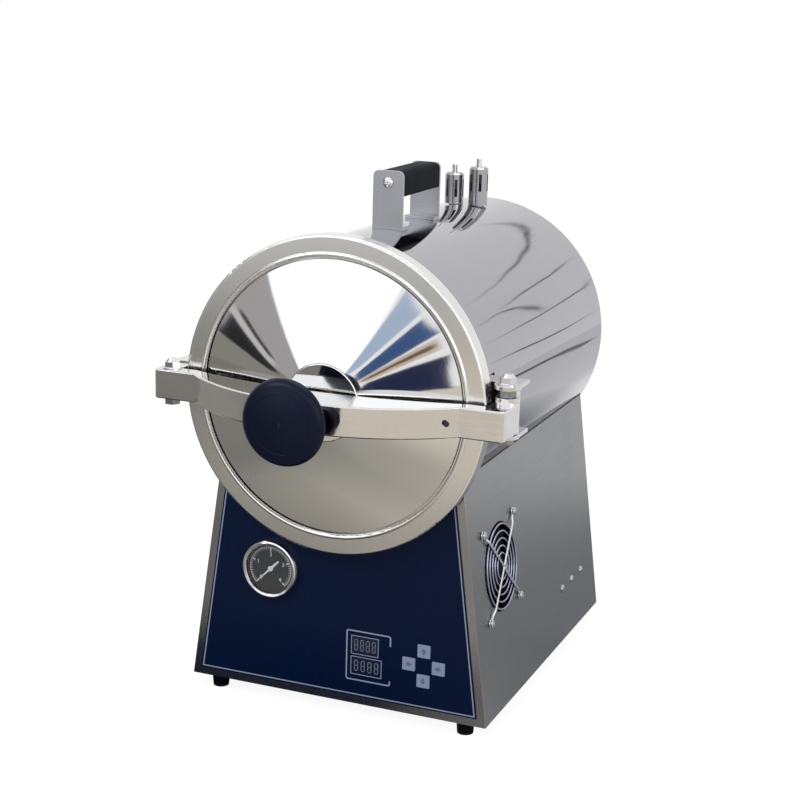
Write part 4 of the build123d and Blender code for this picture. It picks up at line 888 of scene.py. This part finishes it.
def pan_profile(radius, height, steps=26):
    """Half section of a pan head: height falls as one minus the fourth power of the share of the radius."""
    share = np.linspace(0, 1, steps)
    crown = np.stack([share * radius, height * (0.35 + 0.65 * (1 - share**4))], axis=1)
    return np.concatenate([crown, [(radius, 0), (0, 0)]])


def dome_profile(radius, height, sunk, steps=20):
    """Half section of a domed head, a quarter of an ellipse whose rim lies just under the panel's face."""
    share = np.linspace(0, math.pi / 2, steps)
    dome = np.stack([radius * np.sin(share), height * np.cos(share)], axis=1)
    return np.concatenate([dome, [(radius, -sunk), (0, -sunk)]])


# Screw heads: radius and height, the cross sunk into each as width, reach and depth, how high the fan's sit
# over the panel, and how far the domed ones' rims lie under it
FAN_HEAD, FAN_CROSS = (0.0044, 0.0026), (0.0009, 0.0024, 0.0011)
GRIP_HEAD, GRIP_CROSS = (0.0055, 0.0032), (0.0011, 0.003, 0.0014)
DOME_HEAD = (0.0048, 0.0024)
FAN_SEAT = 0.00265
DOME_SUNK = 0.0001
# The domed screws low on the right side: the middle one's (y, z), and their pitch. Then the height of the
# grip's screws, and each one's y and the way that it faces.
DOME_Y = 0.170
DOME_Z = 0.0705
DOME_PITCH = 0.0355
GRIP_Z = 0.549 - 0.45 * 0.027
GRIP_ENDS = ((-0.03405, -REAR), (0.07205, REAR))


class AUTOCLAVE_OT_screws(bpy.types.Operator):
    """Give the fan's and the handle's screws crossed heads, and the low side's plain domed ones"""

    bl_idname = "autoclave.screws"
    bl_label = "Screw heads"

    def execute(self, context):
        origin, rear, up, outwards = fan_place()
        profile, seat = pan_profile(*FAN_HEAD), origin + FAN_SEAT * outwards
        heads = [
            turned(profile, seat + FAN_SCREWS * (a * rear + b * up), rear, up, outwards, 72, FAN_CROSS)
            for a, b in SQUARE
        ]
        guard_heads = add_piece("fan_screw_heads", heads, "screw_steel", "case")
        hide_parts("fan_screws")
        middle = np.array([side_at(DOME_Z), DOME_Y, DOME_Z]) + DOME_SUNK / 2 * outwards
        profile = dome_profile(*DOME_HEAD, DOME_SUNK)
        places = [middle + step * DOME_PITCH * rear for step in (-1, 0, 1)]
        heads = [turned(profile, place, rear, up, outwards, 40) for place in places]
        side_heads = add_piece("side_dome_heads", heads, "screw_steel", "case")
        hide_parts("dome_screws")
        profile = pan_profile(*GRIP_HEAD)
        heads = [
            turned(profile, np.array([0, y, GRIP_Z]), RIGHT, UP, facing, 72, GRIP_CROSS)
            for y, facing in GRIP_ENDS
        ]
        grip_heads = add_piece("handle_screw_heads", heads, "chrome", "case")
        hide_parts("handle_screws")
        return {"FINISHED"}


def curved_plate(centre, radius, facing, half_width, low, high, depth, steps=7):
    """A plate bent round an upright cylinder: arcs of the half width about a facing angle, at the cylinder's
    radius and again one depth further out, from the low to the high level."""
    spread = half_width / radius
    arc = direction(facing + np.linspace(-spread, spread, steps))
    section = np.concatenate([arc * radius, arc[::-1] * (radius + depth)]) + centre
    return lofted(np.stack([np.insert(section, 2, level, axis=1) for level in (low, high)]))


# The valves' slots, dark plates that paint the shade inside the outlets: how many, half width, low and high
# end under the body's top, and how far they stand out
SLOTS = 6
SLOT_HALF = 0.0017
SLOT_LOW = 0.027
SLOT_HIGH = 0.0075
SLOT_OUT = 0.00005


class AUTOCLAVE_OT_valve_slots(bpy.types.Operator):
    """Lay dark plates round each relief valve that paint the shade inside its outlet slots"""

    bl_idname = "autoclave.valve_slots"
    bl_label = "Valve slots"

    def execute(self, context):
        for name in ("exhaust", "safety"):
            low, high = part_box(f"{name}_valve_body")
            centre, radius = ((low.x + high.x) / 2, (low.y + high.y) / 2), (high.x - low.x) / 2
            slots = [
                curved_plate(centre, radius, 2 * math.pi * side / SLOTS, SLOT_HALF, high.z - SLOT_LOW,
                             high.z - SLOT_HIGH, SLOT_OUT)
                for side in range(SLOTS)
            ]
            add_piece(f"{name}_valve_slots", slots, "dark_sealant", "case")
        return {"FINISHED"}


# The arm's bent front: radius of the bend and y of its centre. Then the grub screw's place on it, and its
# half section, a socket in a low rim.
BEND_RADIUS = 0.2082
BEND_Y = -0.0378
GRUB_X = 0.133
GRUB_Z = 0.338
GRUB_PROFILE = [(0, 0.00012), (0.0017, 0.00012), (0.0020, 0.0003), (0.0026, 0.0003), (0.0028, 0.0), (0, 0.0)]


class AUTOCLAVE_OT_grub_screw(bpy.types.Operator):
    """Set the small socket screw in the arm's bent front, near its hinge"""

    bl_idname = "autoclave.grub_screw"
    bl_label = "Arm grub screw"

    def execute(self, context):
        tilt = math.asin(GRUB_X / BEND_RADIUS)
        outwards = math.sin(tilt) * RIGHT - math.cos(tilt) * REAR
        across = math.cos(tilt) * RIGHT + math.sin(tilt) * REAR
        place = np.array([0.0, BEND_Y, GRUB_Z]) + BEND_RADIUS * outwards
        screw = turned(GRUB_PROFILE, place, across, UP, outwards, 36)
        add_piece("arm_grub_screw", [screw], "dark_sealant", "arm")
        return {"FINISHED"}


# The handwheel's face: its y in the middle, the radius of its dome, and the radius and thickness of the ring
# moulded into it
KNOB_FRONT = -0.283
KNOB_DOME = 0.1357
KNOB_RING = 0.029
KNOB_RING_WIRE = 0.0011


class AUTOCLAVE_OT_knob_ring(bpy.types.Operator):
    """Mould a fine raised ring into the handwheel's domed face"""

    bl_idname = "autoclave.knob_ring"
    bl_label = "Handwheel ring"

    def execute(self, context):
        front = KNOB_FRONT + KNOB_DOME - math.sqrt(KNOB_DOME**2 - KNOB_RING**2)
        centre = np.array([0, front + 0.0001, AXIS_Z])
        ring = wire_ring(centre, RIGHT, UP, REAR, KNOB_RING, KNOB_RING_WIRE, 96, 8)
        add_piece("handwheel_ring", [ring], "knob_phenolic", "handwheel")
        return {"FINISHED"}


# The casing's radius, and where the dark line under it starts and ends, as y
CASING_RADIUS = 0.149
SEAM_ENDS = (-0.1395, 0.2565)


class AUTOCLAVE_OT_seams(bpy.types.Operator):
    """Run a dark line where the casing lies on the sloping sides"""

    bl_idname = "autoclave.seams"
    bl_label = "Seams"

    def execute(self, context):
        wire = context.scene.autoclave_sizes.seam_width
        z = side_meets(0.0, CASING_RADIUS)
        x, z = side_at(z) + 0.0001, z + 0.0002
        parts = [
            wire_along(np.linspace(*((side * x, y, z) for y in SEAM_ENDS), 60), UP, wire) for side in (-1, 1)
        ]
        add_piece("casing_seams", parts, "dark_sealant", "case")
        return {"FINISHED"}


# Studio

# How much of the seen floor is plain white, and how strong, so that with its lit part it reads white
FLOOR_SHARE = 0.8
FLOOR_WHITE = 1.15
# Glowing cards, seen only in reflections, that paint the room's reflection into the polished door and casing,
# each in front of those before it: four corners as azimuth and elevation in degrees, display colour, softness
WALL_CARDS = [
    ("room_rear", ((95, -7.4), (265, -7.4), (265, 46), (95, 46)), (255, 255, 255), 0.02),
    ("room_left", ((-100, -9), (-44, -9), (-44, 30), (-100, 30)), (142, 141, 132), 0.01),
    ("front_low", ((-39, -7.4), (-4, -7.4), (-4, 2), (-39, 2)), (201, 200, 203), 0.04),
    ("left_grey", ((-50, -3), (-38.4, -3), (-38.4, 17), (-50, 17)), (172, 169, 170), 0.01),
    ("left_pale", ((-46.3, -4.2), (-44.4, -1.2), (-45.6, 3.4), (-47.0, 2.2)), (206, 204, 202), 0.08),
    ("left_line", ((-44.9, -1.4), (-44.1, -0.8), (-45.0, 3.4), (-45.8, 2.9)), (66, 62, 66), 0.12),
    ("left_wedge", ((-46.5, -4.8), (-45.5, -3.8), (-46.7, 1.8), (-49.6, -2.6)), (46, 48, 50), 0.05),
    ("window", ((-38.4, -1), (-6.6, -1), (-5.4, 42), (-38.4, 42)), (290, 294, 298), 0.01),
    ("upper_right", ((-5.2, 11.8), (60, 11.8), (60, 42), (-5.2, 42)), (318, 320, 324), 0.03),
    ("right_pale", ((-7.4, 6.0), (-4.3, 5.0), (-0.7, 8.1), (-5.4, 12.4)), (176, 194, 220), 0.06),
    ("right_blue", ((-3.5, 4.0), (-1.4, 1.0), (3.2, 3.9), (-0.3, 7.4)), (66, 92, 138), 0.05),
    ("right_beige", ((-1.5, 1.2), (0.4, -0.9), (4.7, 0.9), (3.3, 3.3)), (208, 192, 172), 0.08),
    ("right_brown", ((-0.8, 0.5), (-0.3, -0.1), (4.1, 1.6), (3.5, 2.5)), (112, 84, 70), 0.1),
    ("right_navy", ((0.5, -1.0), (2.0, -9.4), (8.0, -9.4), (5.6, -0.4)), (44, 50, 78), 0.04),
]
# Glowing cards on the floor, seen only in reflections, that paint the floor's reflection into the metal,
# floor_shade a painted shadow in front of the object and floor_side_shade painted shade for the side, each
# over those before it: low and high corner in metres, display colour, softness
FLOOR_CARDS = [
    ("floor_front", (-2.6, -2.7), (2.4, -0.12), (222, 214, 200), 0.02),
    ("floor_left", (-2.6, -2.6), (-0.373, 1.2), (129, 128, 121), 0.12),
    ("floor_left_back", (-2.6, -1.3), (-0.9, 1.5), (150, 149, 144), 0.2),
    ("floor_middle", (-1.1, -1.05), (0.42, -0.2), (136, 135, 128), 0.4),
    ("floor_centre", (-0.34, -1.0), (0.16, -0.52), (172, 168, 161), 0.4),
    ("floor_low_left", (-0.85, -0.75), (-0.2, -0.25), (130, 129, 124), 0.45),
    ("floor_side", (0.18, -0.12), (2.6, 2.6), (235, 236, 238), 0.03),
    ("floor_line", (0.18, 1.8), (2.6, 1.98), (40, 38, 40), 0.3),
    ("floor_side_shade", (0.0, -0.15), (0.75, 1.0), (150, 152, 157), 0.25),
    ("floor_shade", (-0.75, -0.44), (0.36, 0.2), (38, 43, 56), 0.3),
]
# Thin dark glowing ribbons, seen only in reflections, that paint lines of the room into the casing's
# reflection: points as azimuth and elevation in degrees
LINE_CARDS = [
    ("line_low", ((153.3, -0.7), (156.4, -2.2), (158.4, -2.9), (160.4, -2.6))),
    ("line_middle", ((154.3, 5.8), (157.6, 5.1), (160.5, 5.4), (161.6, 7.2))),
    ("line_cross", ((156.0, 12.0), (158.0, 12.6), (158.5, 10.7), (157.9, 5.2))),
    ("line_high", ((158.3, 13.1), (161.0, 13.6), (163.2, 13.6), (165.8, 14.1))),
    ("line_top", ((160.6, 18.6), (164.7, 19.2), (171.0, 20.3), (176.3, 20.9), (181.6, 21.0), (188.8, 21.1))),
]
LINE_REACH = 2.55
LINE_WIDTH = 0.48
LINE_COLOUR = (116, 113, 118)
LINE_SOFTNESS = 0.3
# Distance of the first wall card, and the steps by which wall and floor cards lie in front of each other
WALL_REACH = 2.6
WALL_STEP = 0.002
FLOOR_STEP = 0.0002
FLOOR_HALF = 14.0
# Soft square lamps: name, place and width, all turned to one aim
LAMPS = [("key", (-1.5, -2.2, 2.3), 1.5), ("fill", (2.6, -1.4, 1.4), 1.6), ("top", (0.2, 0.6, 2.8), 1.8)]
LAMP_AIM = Vector((0, 0, 0.3))
SENSOR_WIDTH = 36
CAMERA_CLIP = (0.05, 60)


def seen_directly(tree):
    """One for camera, glossy and transmission rays, none for the rest."""
    path = put(tree, "LightPath").outputs
    both = math_node(tree, "ADD", path["Is Camera Ray"], path["Is Glossy Ray"])
    return math_node(tree, "MINIMUM", math_node(tree, "ADD", both, path["Is Transmission Ray"]), 1.0)


def add_floor():
    """A pale floor that shows white to the camera and in metal, and keeps part of the object's shadow."""
    mesh = bpy.data.meshes.new("studio_floor")
    mesh.from_pydata([(x, y, 0) for x, y in (FLOOR_HALF * SQUARE).tolist()], [], [(0, 1, 2, 3)])
    floor = add_object("studio_floor", mesh)
    material, tree = new_material("studio_floor")
    matt = put(tree, "BsdfDiffuse", {"Color": (0.82, 0.82, 0.82, 1)})
    white = put(tree, "Emission", {"Color": (1, 1, 1, 1), "Strength": FLOOR_WHITE})
    share = math_node(tree, "MULTIPLY", seen_directly(tree), FLOOR_SHARE)
    show(tree, put(tree, "MixShader", {0: share, 1: matt.outputs[0], 2: white.outputs[0]}).outputs[0])
    material.cycles.emission_sampling = "NONE"
    mesh.materials.append(material)


def card_material(name, colour, softness):
    """A card's glowing colour, a painted reflection, fading out at its edges by the distance from the border
    in its own UV map.
    """
    material, tree = new_material(name)
    place = put(tree, "SeparateXYZ", {"Vector": put(tree, "TexCoord").outputs["UV"]}).outputs
    masks = []
    for axis in ("X", "Y"):
        border = math_node(tree, "MINIMUM", place[axis], math_node(tree, "SUBTRACT", 1.0, place[axis]))
        masks.append(ranged(tree, border, 0.0, softness))
    mask = math_node(tree, "MULTIPLY", *masks)
    clear = put(tree, "BsdfTransparent")
    shown = put(tree, "Emission", {"Color": (*linear(*colour), 1), "Strength": 1.0})
    show(tree, put(tree, "MixShader", {0: mask, 1: clear.outputs[0], 2: shown.outputs[0]}).outputs[0])
    material.cycles.emission_sampling = "NONE"
    return material


def add_card(name, points, places, colour, softness):
    """A glowing studio card that paints a reflection into the metal, from a grid of points and their places
    in its UV map. Only glossy rays see it."""
    faces = grid_faces(*points.shape[:2])
    mesh = bpy.data.meshes.new(name)
    mesh.from_pydata(points.reshape(-1, 3).tolist(), [], faces.tolist())
    layer = mesh.uv_layers.new(name="UVMap")
    layer.data.foreach_set("uv", places.reshape(-1, 2)[faces.ravel()].ravel())
    mesh.materials.append(card_material(name, colour, softness))
    card = add_object(name, mesh)
    card.visible_camera = card.visible_diffuse = card.visible_shadow = False
    card.visible_transmission = card.visible_volume_scatter = False


def shares(rows, columns):
    """Evenly spaced places of a grid from 0 to 1, as (across, up)."""
    return np.stack(np.meshgrid(np.linspace(0, 1, columns), np.linspace(0, 1, rows)), axis=-1)


def on_ball(turn, reach):
    """Places on a ball round the object, from azimuth (front towards right) and elevation in radians."""
    azimuth, elevation = turn[..., 0], turn[..., 1]
    level = np.cos(elevation)
    way = np.stack([np.sin(azimuth) * level, -np.cos(azimuth) * level, np.sin(elevation)], axis=-1)
    return reach * way + AXIS_Z * UP


def add_wall_card(name, corners, reach, colour, softness):
    """A patch of a ball round the object, between four corners in degrees mixed evenly in between."""
    places = shares(16, 24)
    u, v = places[..., :1], places[..., 1:]
    lower_left, lower_right, upper_right, upper_left = np.radians(np.array(corners, float))
    turn = (1 - v) * ((1 - u) * lower_left + u * lower_right) + v * ((1 - u) * upper_left + u * upper_right)
    add_card(name, on_ball(turn, reach), places, colour, softness)


def add_line_card(name, points, steps=40):
    """A thin ribbon on a ball round the object, through points in degrees: evenly spaced along its length,
    smoothed by one part of each neighbour to two of itself, and half its width to either side."""
    points = np.array(points, float)
    along = np.concatenate([[0], np.cumsum(np.linalg.norm(np.diff(points, axis=0), axis=1))])
    at = np.linspace(0, along[-1], steps)
    line = np.stack([np.interp(at, along, points[:, axis]) for axis in (0, 1)], axis=-1)
    line[1:-1] = (line[:-2] + 2 * line[1:-1] + line[2:]) / 4
    aside = sideways(unit(np.gradient(line, axis=0))) * LINE_WIDTH / 2
    turn = np.radians(np.stack([line - aside, line + aside]))
    add_card(name, on_ball(turn, LINE_REACH), shares(2, steps), LINE_COLOUR, LINE_SOFTNESS)


def add_floor_card(name, low, high, height, colour, softness):
    """A card that lies just above the floor between two corners."""
    places = shares(4, 4)
    points = np.insert(low + (np.array(high) - low) * places, 2, height, axis=-1)
    add_card(name, points, places, colour, softness)


def add_lamp(name, place, size, power):
    """A soft square lamp at a place, turned to face the object."""
    lamp = bpy.data.lights.new(name, "AREA")
    lamp.shape, lamp.size, lamp.energy = "SQUARE", size, power
    holder = add_object(name, lamp)
    holder.location = place
    holder.rotation_euler = (LAMP_AIM - Vector(place)).to_track_quat("-Z", "Y").to_euler()


def add_camera(studio):
    """The camera at the photograph's place: back vector from azimuth and elevation, then the roll."""
    a, e, roll = studio.azimuth, studio.elevation, studio.roll
    back = Vector((math.sin(a) * math.cos(e), -math.cos(a) * math.cos(e), math.sin(e)))
    right = (-back).cross(Vector(UP)).normalized()
    up = right.cross(-back)
    rolled_right = math.cos(roll) * right + math.sin(roll) * up
    rolled_up = -math.sin(roll) * right + math.cos(roll) * up
    lens = bpy.data.cameras.new("camera")
    lens.lens, lens.sensor_width = studio.lens, SENSOR_WIDTH
    lens.clip_start, lens.clip_end = CAMERA_CLIP
    lens.dof.use_dof = False
    camera = add_object("camera", lens)
    turn = Matrix((rolled_right, rolled_up, back)).transposed().to_4x4()
    camera.matrix_world = Matrix.Translation(studio.camera_place) @ turn
    bpy.context.scene.camera = camera


def add_world(ambient):
    """A white world, seen at full strength and lighting matt faces at the ambient level."""
    world = bpy.data.worlds.new("studio_world")
    world.use_nodes = True
    tree = world.node_tree
    tree.nodes.clear()
    strength = ranged(tree, seen_directly(tree), 0.0, 1.0, ambient, 1.0)
    light = put(tree, "Background", {"Color": (1, 1, 1, 1), "Strength": strength})
    put(tree, "OutputWorld", {"Surface": light.outputs[0]})
    bpy.context.scene.world = world


class AUTOCLAVE_OT_studio(bpy.types.Operator):
    """Set up the pale floor, the soft lamps, the glowing cards that paint reflections into the metal, and the
    camera
    """

    bl_idname = "autoclave.studio"
    bl_label = "Studio"

    def execute(self, context):
        studio = context.scene.autoclave_studio
        add_floor()
        add_world(studio.ambient)
        for name, place, size in LAMPS:
            add_lamp(f"{name}_lamp", place, size, getattr(studio, f"{name}_power"))
        for order, (name, corners, colour, softness) in enumerate(WALL_CARDS):
            add_wall_card(name, corners, WALL_REACH - order * WALL_STEP, colour, softness)
        for name, points in LINE_CARDS:
            add_line_card(name, points)
        for order, (name, low, high, colour, softness) in enumerate(FLOOR_CARDS):
            add_floor_card(name, low, high, (order + 2) * FLOOR_STEP, colour, softness)
        add_camera(studio)
        context.scene.view_settings.view_transform = "Standard"
        return {"FINISHED"}


steps = [
    AUTOCLAVE_OT_finishes, AUTOCLAVE_OT_panel_print, AUTOCLAVE_OT_readouts, AUTOCLAVE_OT_key_marks,
    AUTOCLAVE_OT_gauge_scale, AUTOCLAVE_OT_wire_guard, AUTOCLAVE_OT_screws, AUTOCLAVE_OT_valve_slots,
    AUTOCLAVE_OT_grub_screw, AUTOCLAVE_OT_knob_ring, AUTOCLAVE_OT_seams, AUTOCLAVE_OT_studio,
]


class AUTOCLAVE_PT_tools(bpy.types.Panel):
    """Lists the steps that dress the autoclave"""

    bl_idname = "AUTOCLAVE_PT_tools"
    bl_label = "Tabletop autoclave"
    bl_space_type = "VIEW_3D"
    bl_region_type = "UI"
    bl_category = "Autoclave"

    def draw(self, context):
        for step in steps:
            self.layout.operator(step.bl_idname)
        for name in property_groups:
            settings = getattr(context.scene, name)
            for key in settings.__annotations__:
                self.layout.prop(settings, key)


property_groups = {
    "autoclave_colours": AutoclaveColours,
    "autoclave_sizes": AutoclaveSizes,
    "autoclave_studio": AutoclaveStudio,
}


def register():
    """Makes the settings, steps and panel known to Blender."""
    for name, group in property_groups.items():
        bpy.utils.register_class(group)
        setattr(bpy.types.Scene, name, bpy.props.PointerProperty(type=group))
    for item in (*steps, AUTOCLAVE_PT_tools):
        bpy.utils.register_class(item)


def unregister():
    """Takes the settings, steps and panel away again."""
    for item in (AUTOCLAVE_PT_tools, *reversed(steps)):
        bpy.utils.unregister_class(item)
    for name, group in reversed(property_groups.items()):
        delattr(bpy.types.Scene, name)
        bpy.utils.unregister_class(group)


def main():
    register()
    for step in steps:
        family, name = step.bl_idname.split(".")
        getattr(getattr(bpy.ops, family), name)()


if __name__ == "__main__":
    main()
